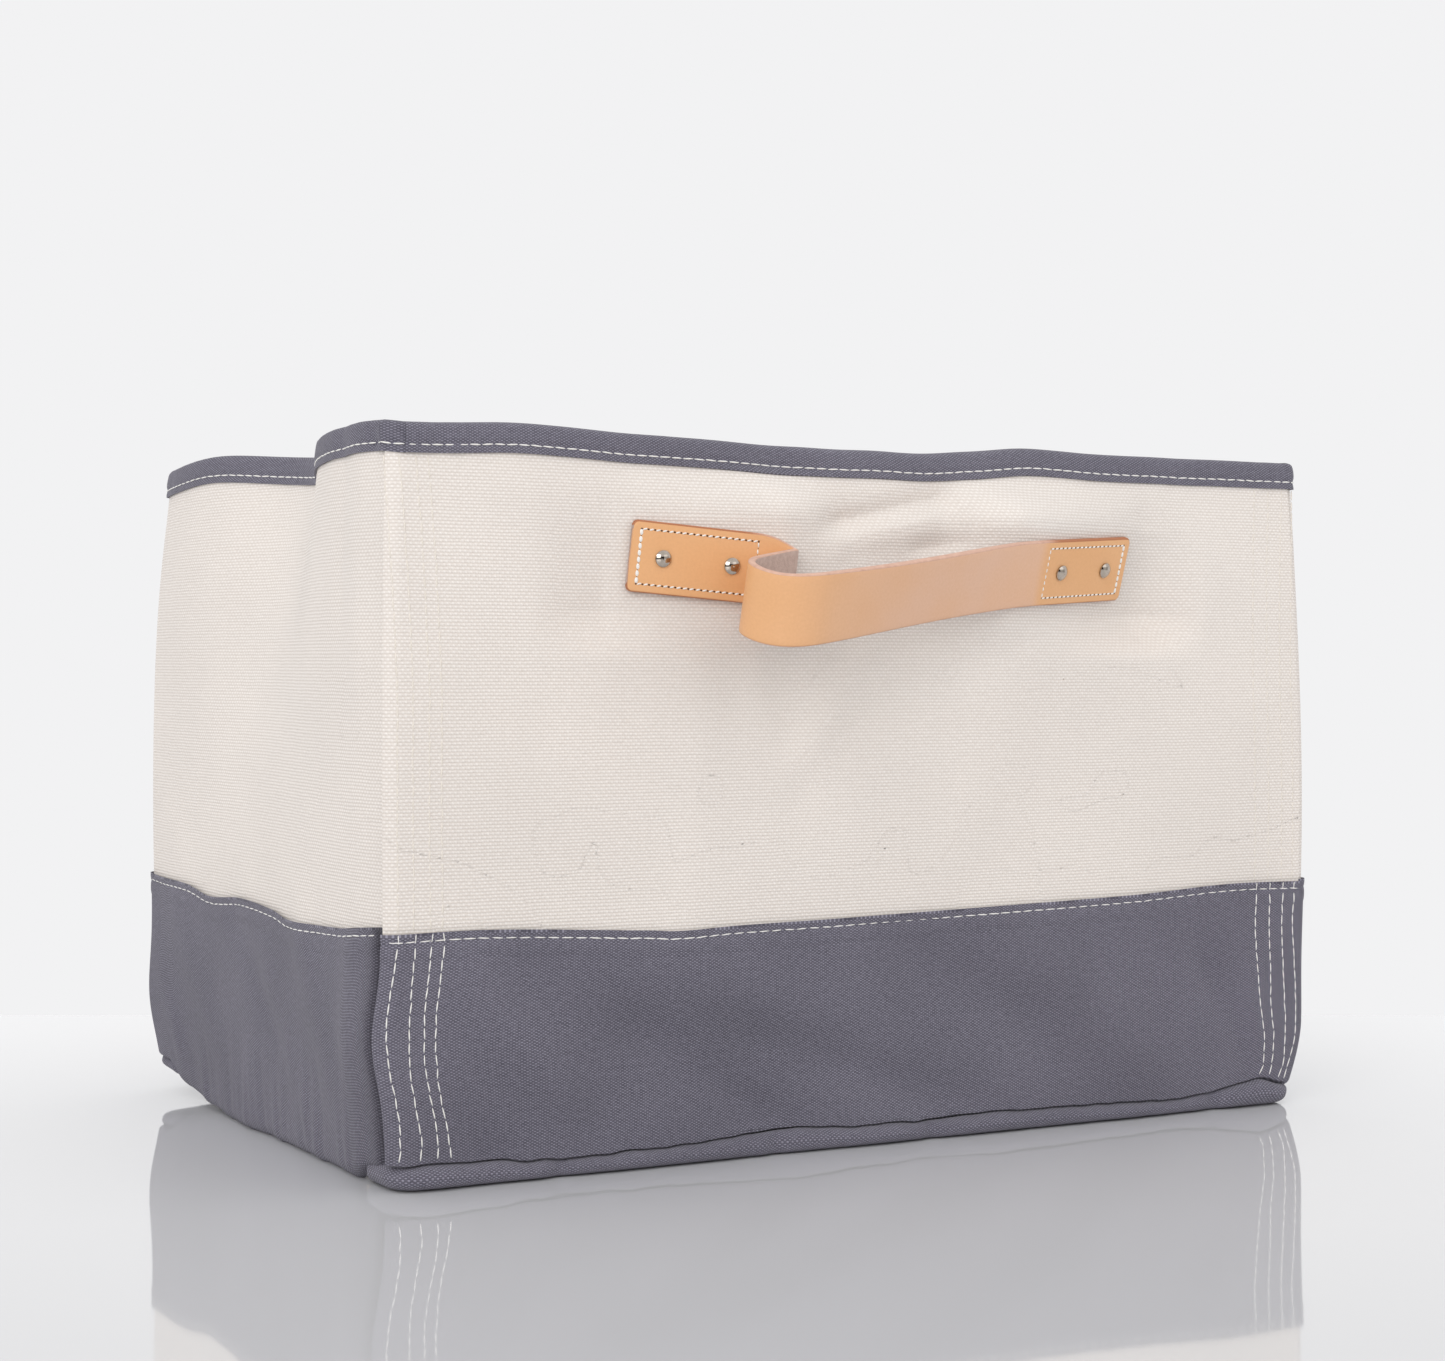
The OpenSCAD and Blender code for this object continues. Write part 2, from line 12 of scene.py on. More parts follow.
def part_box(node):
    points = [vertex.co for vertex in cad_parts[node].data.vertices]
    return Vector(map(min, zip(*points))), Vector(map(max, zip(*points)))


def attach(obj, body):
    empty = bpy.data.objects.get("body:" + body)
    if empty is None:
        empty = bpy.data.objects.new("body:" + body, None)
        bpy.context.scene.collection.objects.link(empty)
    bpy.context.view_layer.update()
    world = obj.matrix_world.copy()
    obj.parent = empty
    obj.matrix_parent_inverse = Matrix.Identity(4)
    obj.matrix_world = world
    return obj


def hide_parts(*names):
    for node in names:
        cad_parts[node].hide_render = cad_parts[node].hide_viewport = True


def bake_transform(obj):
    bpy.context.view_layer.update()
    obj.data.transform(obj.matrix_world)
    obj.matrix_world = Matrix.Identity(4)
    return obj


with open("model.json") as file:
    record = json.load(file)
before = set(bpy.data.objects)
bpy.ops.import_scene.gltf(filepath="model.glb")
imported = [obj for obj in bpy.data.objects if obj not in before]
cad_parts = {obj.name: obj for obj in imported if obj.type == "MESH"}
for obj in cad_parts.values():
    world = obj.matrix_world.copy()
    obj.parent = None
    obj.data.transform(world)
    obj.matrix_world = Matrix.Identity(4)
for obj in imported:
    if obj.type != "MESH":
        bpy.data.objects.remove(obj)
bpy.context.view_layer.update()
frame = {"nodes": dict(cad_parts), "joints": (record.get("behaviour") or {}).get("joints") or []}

MM = 0.001

# --- sizes in millimetres, as the frame was built ---

BIN_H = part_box("rim_binding")[1].z / MM
RIM_W, BELLY_W, FOOT_W = 424, 432, 425
RIM_D, BELLY_D, FOOT_D = 269, 283, 274
BELLY_Z = 97
CORNER_R = 6
CANVAS_T = 1.2
BAND_T = 0.9
BINDING_T = 0.8
PLY_GAP = 0.25
LAP_W = 27
BAND_H = 95
BINDING_H = 11.5
STRAP_W = 27.5
STRAP_T = 2.8
SEWN_L = 48
LEATHER_IN = 3.3
RIVET_GAP = 28.3

WALL_FOOT = 12.5
LAP = PLY_GAP + CANVAS_T
TOPSTITCH_IN = 3

HANDLE_X = 1.5
END_GAP = 181
END_Z = BIN_H - 49
END_OUT = 3
LEFT_YAW, RIGHT_YAW = radians(8), radians(15.5)
LEFT_LEAN, RIGHT_LEAN = radians(5), radians(17)
LEFT_ROLL, RIGHT_ROLL = radians(5), radians(-3.5)
LEFT_X = HANDLE_X - END_GAP / 2
RIGHT_X = HANDLE_X + END_GAP / 2


# --- curves of the walls ---


def mix(a, b, t):
    return a + (b - a) * t


def clip(t):
    return max(0.0, min(1.0, t))


def smooth(t):
    t = clip(t)
    return t * t * (3 - 2 * t)


def bell(t):
    return exp(-t * t)


def curve(knots, t):
    """Value at t of a smooth line through a list of places and their values, in order."""
    t = max(knots[0][0], min(knots[-1][0], t))
    last = len(knots) - 1
    n = next(k for k in range(last) if t <= knots[k + 1][0])
    slopes = []
    for k in (n, n + 1):
        (a, low), (b, high) = knots[max(k - 1, 0)], knots[min(k + 1, last)]
        slopes.append((high - low) / (b - a))
    (a, low), (b, high) = knots[n], knots[n + 1]
    share = (t - a) / (b - a)
    bend = share * (1 - share) * (b - a)
    start, end = slopes[0] * (1 - share), slopes[1] * share
    return mix(low, high, smooth(share)) + bend * (start - end)


def humps(t, places):
    """A sum of soft humps, each given by its middle, its half width and its height."""
    return sum(height * bell((t - middle) / half) for middle, half, height in places)


def soft_noise(x, y, seed):
    """Smooth noise from about -1 to 1."""
    return noise.noise(Vector((x, y, seed * 7.31)))


def through(z, foot, belly, rim):
    """Parabola through the sizes at the foot, the belly and the rim."""
    return (
        foot * (z - BELLY_Z) * (z - BIN_H) / (BELLY_Z * BIN_H)
        + belly * z * (z - BIN_H) / (BELLY_Z * (BELLY_Z - BIN_H))
        + rim * z * (z - BELLY_Z) / (BIN_H * (BIN_H - BELLY_Z))
    )


def half_w(z):
    return through(z, FOOT_W, BELLY_W, RIM_W) / 2


def half_d(z):
    return through(z, FOOT_D, BELLY_D, RIM_D) / 2


def run_w(z):
    return half_w(z) - CORNER_R


def run_d(z):
    return half_d(z) - CORNER_R


def rise(z, start):
    return clip((z - start) / (BIN_H - start)) ** 1.5


def fade(s, half):
    """1 along a wall, 0 at its corners."""
    return 1 - clip(abs(s / half)) ** 6


def crease(x, z, start, end, width, depth):
    """A soft fold along a line from start to end, raised where depth is positive."""
    dx, dz = end[0] - start[0], end[1] - start[1]
    length = hypot(dx, dz)
    along = ((x - start[0]) * dx + (z - start[1]) * dz) / length
    across = ((x - start[0]) * dz - (z - start[1]) * dx) / length
    past = max(0.0, -along, along - length)
    if abs(across) > 3 * width or past > 5 * width:
        return 0.0
    return depth * bell(across / width) * bell(past / (2 * width))


FRONT_CREASES = [
    ((-31, 247), (22, 258), 5, -3.6), ((-24, 240), (14, 250), 5, 1.6),
    ((16, 239), (68, 246), 4.5, -3.2), ((-40, 263), (-8, 233), 11, -3.4),
    ((-62, 262), (-40, 246), 9, 0.8), ((-50, 196), (-44, 152), 10, -1.8),
    ((-10, 200), (-42, 156), 7, 1.2), ((-12, 205), (62, 209), 8, -1.4),
    ((-88, 184), (-90, 92), 12, 1.0), ((-178, 262), (-120, 240), 12, 1.0),
    ((120, 214), (168, 178), 14, 0.8), ((60, 186), (30, 120), 14, 0.9),
    ((150, 270), (196, 232), 12, -0.9),
]
BAND_CREASES = [
    ((-112, 52), (-58, 18), 11, -4.0), ((-58, 46), (24, 17), 12, -4.3),
    ((-180, 76), (-147, 36), 9, 3.6), ((-120, 80), (-60, 60), 14, 2.2),
    ((60, 70), (120, 30), 16, 2.7), ((10, 74), (60, 50), 12, -2.2),
    ((-198, 40), (-176, 14), 7, -2.9), ((160, 60), (182, 20), 9, -2.9),
]

END_FACE = half_d(END_Z) + END_OUT
FLAT_L, FLAT_H = SEWN_L / 2 + LEATHER_IN + 9, STRAP_W / 2 + 4
REACH_L, REACH_H = 34, 20


# Where, and how deep, the strap's edge presses the cloth beside its sewn ends
STRAP_DENTS = ((-58, 212, 2.2), (54, 247, 2.0))
DENT_R = 9
# The front swells out round its handle, and bows in above BOW_FROM
BULGE, BULGE_W, BULGE_H, BULGE_Z = 10, 105, 38, END_Z + 14
BOW, BOW_FROM = 8, 150


def held(t, half):
    return max(-half, min(half, t))


def end_plane(x, z, centre, yaw, lean):
    return (
        END_FACE
        - LAP
        + tan(yaw) * held(x - centre, FLAT_L)
        + tan(lean) / cos(yaw) * held(z - END_Z, FLAT_H)
    )


def end_hold(x, z, centre):
    """1 on the flat cloth under a sewn end, easing to 0 around it."""
    past_x = (abs(x - centre) - FLAT_L) / REACH_L
    past_z = (abs(z - END_Z) - FLAT_H) / REACH_H
    return (1 - smooth(past_x)) * (1 - smooth(past_z))


def folds(x, z, creases, seed):
    """Creases, and the slow waves of a stiff cloth."""
    total = sum(crease(x, z, *c) for c in creases)
    total += 0.9 * soft_noise(x / 60, z / 90, seed) + 0.35 * soft_noise(x / 22, z / 34, seed + 3)
    return total


def front_out(x, z):
    """How far the front wall's cloth stands out of the middle of the bin."""
    edge = run_w(z)
    bulge = BULGE * bell((x - HANDLE_X) / BULGE_W) * bell((z - BULGE_Z) / BULGE_H)
    bow = BOW * cos(pi / 2 * clip(abs(x) / edge)) ** 2 * rise(z, BOW_FROM)
    creases = FRONT_CREASES + BAND_CREASES
    left, right = end_hold(x, z, LEFT_X), end_hold(x, z, RIGHT_X)
    out = half_d(z) + fade(x, edge) * (
        bulge - bow + folds(x, z, creases, 1) * (1 - max(left, right))
    )
    out = mix(out, end_plane(x, z, LEFT_X, LEFT_YAW, LEFT_LEAN), left)
    out = mix(out, end_plane(x, z, RIGHT_X, -RIGHT_YAW, RIGHT_LEAN), right)
    return out - sum(bell(hypot(x - a, z - b) / DENT_R) * deep for a, b, deep in STRAP_DENTS)


SIDE_CREASES = [
    ((-118, 276), (-116, 200), 9, 1.4), ((-100, 276), (-98, 215), 6, -1.2),
    ((60, 276), (66, 180), 16, 0.8), ((100, 80), (60, 40), 12, 1.6),
    ((20, 84), (-20, 50), 10, -1.6), ((-60, 80), (-90, 30), 12, 1.8),
    ((-20, 60), (-50, 24), 9, 1.2), ((110, 120), (90, 96), 14, 0.8),
    ((118, 50), (96, 16), 7, 1.6),
]
UNDER_R = 6
# A side swells out a little towards the rim, and sinks in near its middle
SWELL, SINK, SINK_Y, SINK_HALF, SINK_FROM = 5, 33, 12, 58, 80


def side_out(y, z):
    """How far a side wall's cloth stands out of the middle of the bin."""
    dent = rise(z, SINK_FROM) * (SWELL - SINK * bell((y - SINK_Y) / SINK_HALF))
    return half_w(z) + fade(y, run_d(z)) * (dent + folds(y, z, SIDE_CREASES, 5))


FRONT_RIM_HUMPS = ((-20, 62, -2.6), (22, 16, -1.1), (-158, 38, 1.7), (73, 20, 1.8))
SIDE_RIM_HUMPS = ((-10, 42, -3), (-118, 30, 1.4), (74, 26, 2))


def front_rim(x):
    return BIN_H + humps(x, FRONT_RIM_HUMPS) + 0.35 * soft_noise(x / 24, 0, 11)


def side_rim(y):
    return BIN_H + humps(y, SIDE_RIM_HUMPS)


FRONT_BAND_TOPS = [
    (-216, 94.3), (-178, 94.6), (-111, 91.2), (-99, 90.4), (-73, 91.1),
    (-24, 91.7), (41, 93.1), (120, 94.9), (171, 97.5), (216, 97.0),
]
SIDE_BAND_TOPS = [
    (-141, 97), (-118, 95), (-100, 93.3), (-42, 91.8), (-24, 93.9),
    (16, 95.5), (56, 93.4), (84, 96.6), (122, 97.3), (141, 98.2),
]


# How the corners spread at each height; the back right one is like the front left
FRONT_LEFT_SHIFT = ((55, 20, 4.2),)
FRONT_RIGHT_SHIFT = ((BIN_H, 45, 2), (28, 26, 2.6))
BACK_LEFT_SHIFT = ((40, 26, 3.2), (BIN_H, 45, -2.4))


def foot_shift(x, y, z):
    """How far the corners stand out sideways of the walls' plain curves."""
    near = smooth((abs(x) - 110) / 90) * smooth((abs(y) - 60) / 80)
    if x * y > 0:
        out = humps(z, FRONT_LEFT_SHIFT)
    elif x > 0:
        out = humps(z, FRONT_RIGHT_SHIFT) - 5.5 * clip((34 - z) / 34) ** 1.5
    else:
        out = humps(z, BACK_LEFT_SHIFT)
    return out * near * copysign(1, x)


CORNER_LIFT = 10


def settle(bm):
    """Sets the corners out, and lifts the back left one a little off the floor."""
    for vert in bm.verts:
        x, y, z = vert.co / MM
        back_left = smooth((y - 40) / 100) * smooth((-x - 120) / 90)
        lift = CORNER_LIFT * clip((70 - z) / 70) ** 1.5 - 2 * bell((z - BIN_H) / 40)
        vert.co += Vector((foot_shift(x, y, z), 0, lift * back_left)) * MM


# --- the camera, floor and light ---

EYE = Vector((-0.5791, -1.0457, 0.1928))
HEADING = radians(29.04)
PITCH = radians(-0.40)

scene = bpy.context.scene


def in_scene(name, data):
    made = bpy.data.objects.new(name, data)
    scene.collection.objects.link(made)
    return made


camera = bpy.data.cameras.new("camera")
camera.sensor_width = 36
camera.lens = 66.86
camera.clip_end = 50
eye = in_scene("camera", camera)
eye.location = EYE
eye.rotation_euler = (pi / 2 + PITCH, 0, -HEADING)
scene.camera = eye
scene.view_settings.view_transform = "Standard"


# --- shader maths ---


class Val:
    """A shader socket that can be calculated with."""

    def __init__(self, tree, socket):
        self.tree = tree
        self.socket = socket

    def node(self, kind, settings=None, **inputs):
        """Adds a node; settings are set first, then sockets by name or number."""
        made = self.tree.nodes.new(kind)
        for name, value in (settings or {}).items():
            setattr(made, name, value)
        for name, value in inputs.items():
            plug(self.tree, made, name, value)
        return made

    def value(self, kind, settings, **inputs):
        return Val(self.tree, self.node(kind, settings, **inputs).outputs[0])

    def math(self, operation, *values):
        sockets = {f"_{n}": value for n, value in enumerate((self, *values))}
        return self.value("ShaderNodeMath", {"operation": operation}, **sockets)

    def __add__(self, other):
        return self.math("ADD", other)

    def __sub__(self, other):
        return self.math("SUBTRACT", other)

    def __mul__(self, other):
        return self.math("MULTIPLY", other)

    def blend(self, factor, a, b, mode="MIX"):
        settings = {"data_type": "RGBA", "blend_type": mode}
        return self.node("ShaderNodeMix", settings, _0=factor, _6=a, _7=b).outputs[2]

    def cloth_place(self):
        """The place on the flat cloth, in metres, from the piece's own UV map."""
        return self.node("ShaderNodeUVMap", {"uv_map": "flat"}).outputs[0]

    def solid_place(self):
        """The place in the piece itself, in metres."""
        return self.node("ShaderNodeTexCoord").outputs["Object"]

    def split(self, vector):
        made = self.node("ShaderNodeSeparateXYZ", None, _0=vector)
        return [Val(self.tree, part) for part in made.outputs]

    def noise(self, place, scale, detail=2.0):
        sockets = {"Vector": place, "Scale": scale, "Detail": detail}
        return self.value("ShaderNodeTexNoise", {"noise_dimensions": "3D"}, **sockets)

    def cells(self, place, scale):
        """Scattered cells: how far off each one's middle lies, and its own colour."""
        made = self.node("ShaderNodeTexVoronoi", {"feature": "F1"}, Vector=place, Scale=scale)
        return Val(self.tree, made.outputs["Distance"]), made.outputs["Color"]

    def ramp(self, value, low, high, kind="SMOOTHSTEP"):
        """Goes from 0 to 1 while the value goes from low to high."""
        settings = {"interpolation_type": kind}
        return self.value("ShaderNodeMapRange", settings, _0=value, _1=low, _2=high)

    def bumps(self, height, distance, strength):
        sockets = {"Height": height, "Distance": distance * MM, "Strength": strength}
        return self.node("ShaderNodeBump", None, **sockets).outputs[0]


def plug(tree, node, name, value):
    """Sets a socket, named as in Blender or _ and its number, to a value or another socket."""
    name = int(name[1:]) if name.startswith("_") else name.replace("_", " ")
    socket = node.inputs[name]
    if isinstance(value, Val):
        tree.links.new(value.socket, socket)
    elif isinstance(value, bpy.types.NodeSocket):
        tree.links.new(value, socket)
    else:
        socket.default_value = value


def srgb(*colour):
    """A colour written as 0 to 255, as a shader's linear colour."""
    shares = (c / 255 for c in colour)
    return (*(c / 12.92 if c <= 0.04045 else ((c + 0.055) / 1.055) ** 2.4 for c in shares), 1)


def new_finish(name):
    """A material, and a Val of its shader to start from."""
    finish = bpy.data.materials.new(name)
    finish.use_nodes = True
    return finish, Val(finish.node_tree, None)


def dress(finish, **inputs):
    """Sets the inputs of a material's shader, and gives the material back."""
    tree = finish.node_tree
    for name, value in inputs.items():
        plug(tree, tree.nodes["Principled BSDF"], name, value)
    return finish


def canvas(name, gap, crown, warp, weft, plump, depth, mottle, specks):
    """Plain-weave cotton. Staggered crowns of yarn stand between rows of shade; warp and weft
    are the yarns' pitches in millimetres, plump is how far the crowns stand out of their rows,
    and the tone drifts slowly over the cloth."""
    finish, start = new_finish(name)
    place = start.cloth_place()
    u, v, _ = start.split(place)
    drift = start.noise(place, 90) * 1.1
    across = (u * (pi / (warp * MM)) + drift).math("SINE")
    up = (v * (pi / (weft * MM)) + drift).math("SINE")
    cross = across * up
    crowns = cross.math("MAXIMUM", 0.0).math("POWER", 0.7)
    backs = (cross * -1).math("MAXIMUM", 0.0).math("POWER", 0.8)
    ridge = up * up
    slub = start.noise(place, 520)
    height = crowns * plump + backs * 0.35 + ridge * 0.4 + slub * 0.25
    lit = crowns * plump + ridge * (0.75 - plump * 0.5) + (slub - 0.5) * 0.5
    cloth = start.blend(lit.math("MINIMUM", 1.0).math("MAXIMUM", 0.0), gap, crown)
    tone = start.ramp(start.noise(place, 13, 4), 0.36, 0.66, "LINEAR")
    cloth = start.blend(tone * mottle, cloth, WORN_TINT, "MULTIPLY")
    if specks:
        distance, colour = start.cells(place, 95.0)
        chosen = start.split(colour)[0].math("GREATER_THAN", 0.95)
        dark = distance.math("LESS_THAN", 0.04) * chosen
        cloth = start.blend(dark * 0.6, cloth, SEED_HUSK)
    # Painted shade: the fold attribute darkens the side band beside the front band's folded edge
    fold = start.node("ShaderNodeAttribute", {"attribute_name": "fold"}).outputs["Fac"]
    cloth = start.blend(fold, cloth, PAINTED_FOLD_SHADE, "MULTIPLY")
    return dress(
        finish,
        Base_Color=cloth,
        Roughness=0.85,
        Specular_IOR_Level=0.25,
        Sheen_Weight=0.12,
        Sheen_Roughness=0.5,
        Normal=start.bumps(height, depth, 1.0),
    )


SEED_HUSK = srgb(120, 92, 70)
WORN_TINT = (0.7, 0.7, 0.71, 1)
# Colour of the painted shade in the fold beside the front band
PAINTED_FOLD_SHADE = (0.27, 0.26, 0.27, 1)
NATURAL = canvas(
    "natural canvas", srgb(214, 205, 197), srgb(240, 234, 229), 1.06, 1.28, 0.5, 0.16, 0.14, True
)
SLATE = canvas(
    "slate canvas", srgb(80, 77, 88), srgb(149, 146, 160), 0.98, 0.56, 0.95, 0.14, 0.5, False
)


def speckled(name, dark, light, scale, detail, twist=0, wear=0, **inputs):
    """A plain material that wanders finely from a dark to a light tone. Twist raises it into
    strands, and wear roughens its polish."""
    finish, start = new_finish(name)
    grain = start.noise(start.solid_place(), scale, detail)
    if twist:
        inputs["Normal"] = start.bumps(grain, 0.1, twist)
    if wear:
        inputs["Roughness"] = grain * wear + 0.05
    return dress(finish, Base_Color=start.blend(grain, dark, light), **inputs)


COTTON = {"scale": 900, "detail": 2, "twist": 0.6, "Roughness": 0.6, "Sheen_Weight": 0.2}
WHITE_THREAD = speckled("white thread", srgb(222, 219, 214), srgb(246, 244, 240), **COTTON)
CREAM_THREAD = speckled("cream thread", srgb(214, 205, 194), srgb(232, 225, 216), **COTTON)
NICKEL = speckled(
    "polished nickel", srgb(168, 157, 145), srgb(202, 192, 181), 600, 3, wear=0.06, Metallic=1
)
# Dark colour of the painted shade in the stitch holes
HOLE_SHADE = speckled("stitch hole", srgb(66, 42, 28), srgb(96, 62, 42), 800, 1, Roughness=0.9)
BOARD = speckled("fibreboard", srgb(132, 110, 84), srgb(170, 146, 116), 220, 4, Roughness=0.9)
# The floor's colours near the front and towards the back; the darker near one is painted shade
FLOOR_NEAR_SHADED, FLOOR_FAR = srgb(207, 207, 209), srgb(246, 246, 248)


def floor_finish():
    """Pale polished floor, with painted shade that makes it darker near the front and a little
    lighter towards the back.
    """
    finish, start = new_finish("floor")
    x, y, _ = start.split(start.solid_place())
    back = x * sin(HEADING) + y * cos(HEADING)
    # Painted shade: the floor darkens towards the front
    tone = start.blend(start.ramp(back, -0.45, 0.32, "LINEAR"), FLOOR_NEAR_SHADED, FLOOR_FAR)
    return dress(
        finish,
        Base_Color=tone,
        Roughness=0.04,
        Specular_IOR_Level=0.68,
        Coat_Weight=0.35,
        Coat_Roughness=0.04,
    )


# --- building cloth ---


# Slots not named by the last word of their finish
SLOTS = {"slate canvas": "slate_canvas", "stitch hole": "leather", "fibreboard": "board"}


def as_mesh(bm, name):
    mesh = bpy.data.meshes.new(name)
    bm.to_mesh(mesh)
    bm.free()
    return mesh


def finish_piece(bm, name, finish, body="bin", sharp=40):
    """Puts a bmesh in the scene as a smooth piece that rides on a body."""
    settle(bm)
    mesh = as_mesh(bm, name)
    mesh.shade_smooth()
    mesh.set_sharp_from_angle(angle=radians(sharp))
    mesh.materials.append(finish)
    piece = in_scene(name, mesh)
    if body:
        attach(piece, body)
    SLOTS.get(finish.name, finish.name.split()[-1])
    return piece


def woven(columns, rows, place, thickness=0):
    """A grid of cloth as a bmesh, thickened away from its outer face. place(u, v) gives a
    point and its place on the flat cloth, both in millimetres, for u along the cloth and v up
    it, from 0 to 1."""
    bm = bmesh.new()
    layer = bm.loops.layers.uv.new("flat")
    bmesh.ops.create_grid(bm, x_segments=columns, y_segments=rows, size=0.5)
    bm.verts.index_update()
    flat = {}
    for vert in bm.verts:
        point, spot = place(vert.co.x + 0.5, vert.co.y + 0.5)
        vert.co = Vector(point) * MM
        flat[vert.index] = (spot[0] * MM, spot[1] * MM)
    for face in bm.faces:
        for loop in face.loops:
            loop[layer].uv = flat[loop.vert.index]
    if thickness:
        bmesh.ops.solidify(bm, geom=bm.faces[:], thickness=thickness * MM)
    return bm


def close_ring(bm):
    bmesh.ops.remove_doubles(bm, verts=bm.verts[:], dist=0.01 * MM)


HALF_TURN = Matrix.Rotation(pi, 4, "Z")


def turned(bm):
    bmesh.ops.transform(bm, matrix=HALF_TURN, verts=bm.verts[:])


# --- places on the walls: a point and its outward direction, in millimetres ---

ARC_L = CORNER_R * pi / 2
OUT_FRONT = Vector((0, -1, 0))
OUT_LEFT = Vector((-1, 0, 0))


def front_at(x, z, off):
    """A place on the front wall, which runs on around the corner past its straight part."""
    past = abs(x) - run_w(z)
    if past <= 0:
        return Vector((x, -front_out(x, z) - off, z)), OUT_FRONT
    angle = past / (CORNER_R + LAP)
    ray = Vector((copysign(sin(angle), x), -cos(angle), 0))
    corner = Vector((copysign(run_w(z), x), -run_d(z), z))
    return corner + ray * (CORNER_R + off), ray


WRAP_LEFT, WRAP_RIGHT = 8.3, 0.9
EDGE_L, EDGE_SHARE = 10, 0.05


def panel_x(u, z):
    """Spreads columns over a front panel, closer together near its two folded edges. Also
    gives how far in from the nearer edge the place is."""
    left, right = -run_w(z) - WRAP_LEFT, run_w(z) + WRAP_RIGHT
    if u < EDGE_SHARE:
        x = left + EDGE_L * u / EDGE_SHARE
    elif u > 1 - EDGE_SHARE:
        x = right - EDGE_L * (1 - u) / EDGE_SHARE
    else:
        x = mix(left + EDGE_L, right - EDGE_L, (u - EDGE_SHARE) / (1 - 2 * EDGE_SHARE))
    return x, min(x - left, right - x)


def round_edge(inset, radius):
    """How far a folded edge falls away, inset from it."""
    return radius * (1 - sqrt(1 - (1 - clip(inset / radius)) ** 2))


def side_at(s, z, off):
    """A place on the left wall, s millimetres round from its middle, positive to the front.
    Past the side and its corner it runs on behind the front or the back panel."""
    y_run, x_run = run_d(z), run_w(z)
    past = abs(s) - y_run
    if past <= 0:
        return Vector((-side_out(-s, z) - off, -s, z)), OUT_LEFT
    toward = 1 if s > 0 else -1
    if past <= ARC_L:
        angle = pi + toward * past / CORNER_R
        ray = Vector((cos(angle), sin(angle), 0))
        return Vector((-x_run, -toward * y_run, z)) + ray * (CORNER_R + off), ray
    x = -x_run + past - ARC_L
    out = front_out(toward * x, z)
    return Vector((x, -toward * (out + off), z)), Vector((0, -toward, 0))


BACKWARDS = Vector((-1, -1, 1))


def half_turned(spot):
    return spot[0] * BACKWARDS, spot[1] * BACKWARDS


# Steps round the rim: along a front, and along a side with its two corners
FRONT_STEPS, SIDE_STEPS = 210, 150
HALF_RING = FRONT_STEPS + SIDE_STEPS
# The share of a corner's arc that the front panel's folded edge covers
COVERED = 0.29


def rim_at(step, drop, off_front, off_side):
    """A place round the rim at a number of steps, drop below its top; the offset eases across
    the corners."""
    step %= 2 * HALF_RING
    if step >= HALF_RING:
        return half_turned(rim_at(step - HALF_RING, drop, off_front, off_side))
    wide, deep = run_w(BIN_H), run_d(BIN_H)
    if step < FRONT_STEPS:
        share = mix(-1, 1, step / FRONT_STEPS)
        z = front_rim(share * wide) - drop
        return front_at(share * run_w(z), z, off_front)
    half = deep + ARC_L
    s = mix(-half, half, (step - FRONT_STEPS) / SIDE_STEPS)
    corner = clip((abs(s) - deep) / ARC_L)
    front_z = front_rim(-copysign(wide, s))
    z = mix(side_rim(-held(s, deep)), front_z, smooth(corner)) - drop
    s *= (run_d(z) + ARC_L) / half
    covered = smooth(corner / COVERED) if s > 0 else smooth(corner)
    return half_turned(side_at(s, z, mix(off_side, off_front, covered)))


# --- natural canvas walls ---

UNDER_BINDING = BINDING_T + PLY_GAP


def front_panel(u, v):
    top = front_rim(panel_x(u, BIN_H)[0]) - UNDER_BINDING
    z = mix(WALL_FOOT, top, v)
    x, inset = panel_x(u, z)
    tucked = 1.6 * bell((z - WALL_FOOT) / 3) + round_edge(inset, 1.2)
    return front_at(x, z, LAP - tucked)[0], (x, z)


BAND_SINK = ((-0.8, 3, 4.2), (-24, 9, -1.4))
# How strongly painted shade darkens the side band beside the front band's folded edge
FOLD_SHADE_HUMPS = ((-1, 9, 0.5), (-1, 3.5, 0.5))


def corner_sink(s, z):
    """How far a side wall turns in as it nears the front's folded edge: softly from a low
    ridge, then sharply where the band is sewn down."""
    near, band = s - run_d(z), smooth((98 - z) / 14)
    soft = 2 * clip((near + 20) / 20) ** 1.2 * clip((262 - z) / 40)
    return soft + band * humps(near, BAND_SINK)


def side_panel(u, v):
    full = run_d(BIN_H) + ARC_L + LAP_W
    s = mix(-full, full, u)
    z = mix(WALL_FOOT, side_rim(-held(s, run_d(BIN_H))) - UNDER_BINDING, v)
    s *= (run_d(z) + ARC_L + LAP_W) / full
    return side_at(s, z, -corner_sink(s, z))[0], (s, z)


# --- slate band ---

HEM_H = 9


def hem(z, top):
    """The folded hem at the band's top edge, drawn in along its line of stitching."""
    return 0.35 * smooth((z - top + HEM_H) / 1.5) - 0.5 * bell((z - top + TOPSTITCH_IN) / 1.1)


ROLL_TOPS = [
    (-212, 9.5), (-190, 9.3), (-146, 7), (-109, 7.4), (-70, 8.5), (-47, 10), (-21, 8.7),
    (14, 7.4), (53, 8.2), (107, 7.3), (149, 6.4), (183, 10.4), (192, 11.5), (208, 8.4),
]


def roll_top(x):
    """Height of the seam above the rolled front edge of the base."""
    return curve(ROLL_TOPS, x) + 0.7 * soft_noise(x / 8, 0, 21)


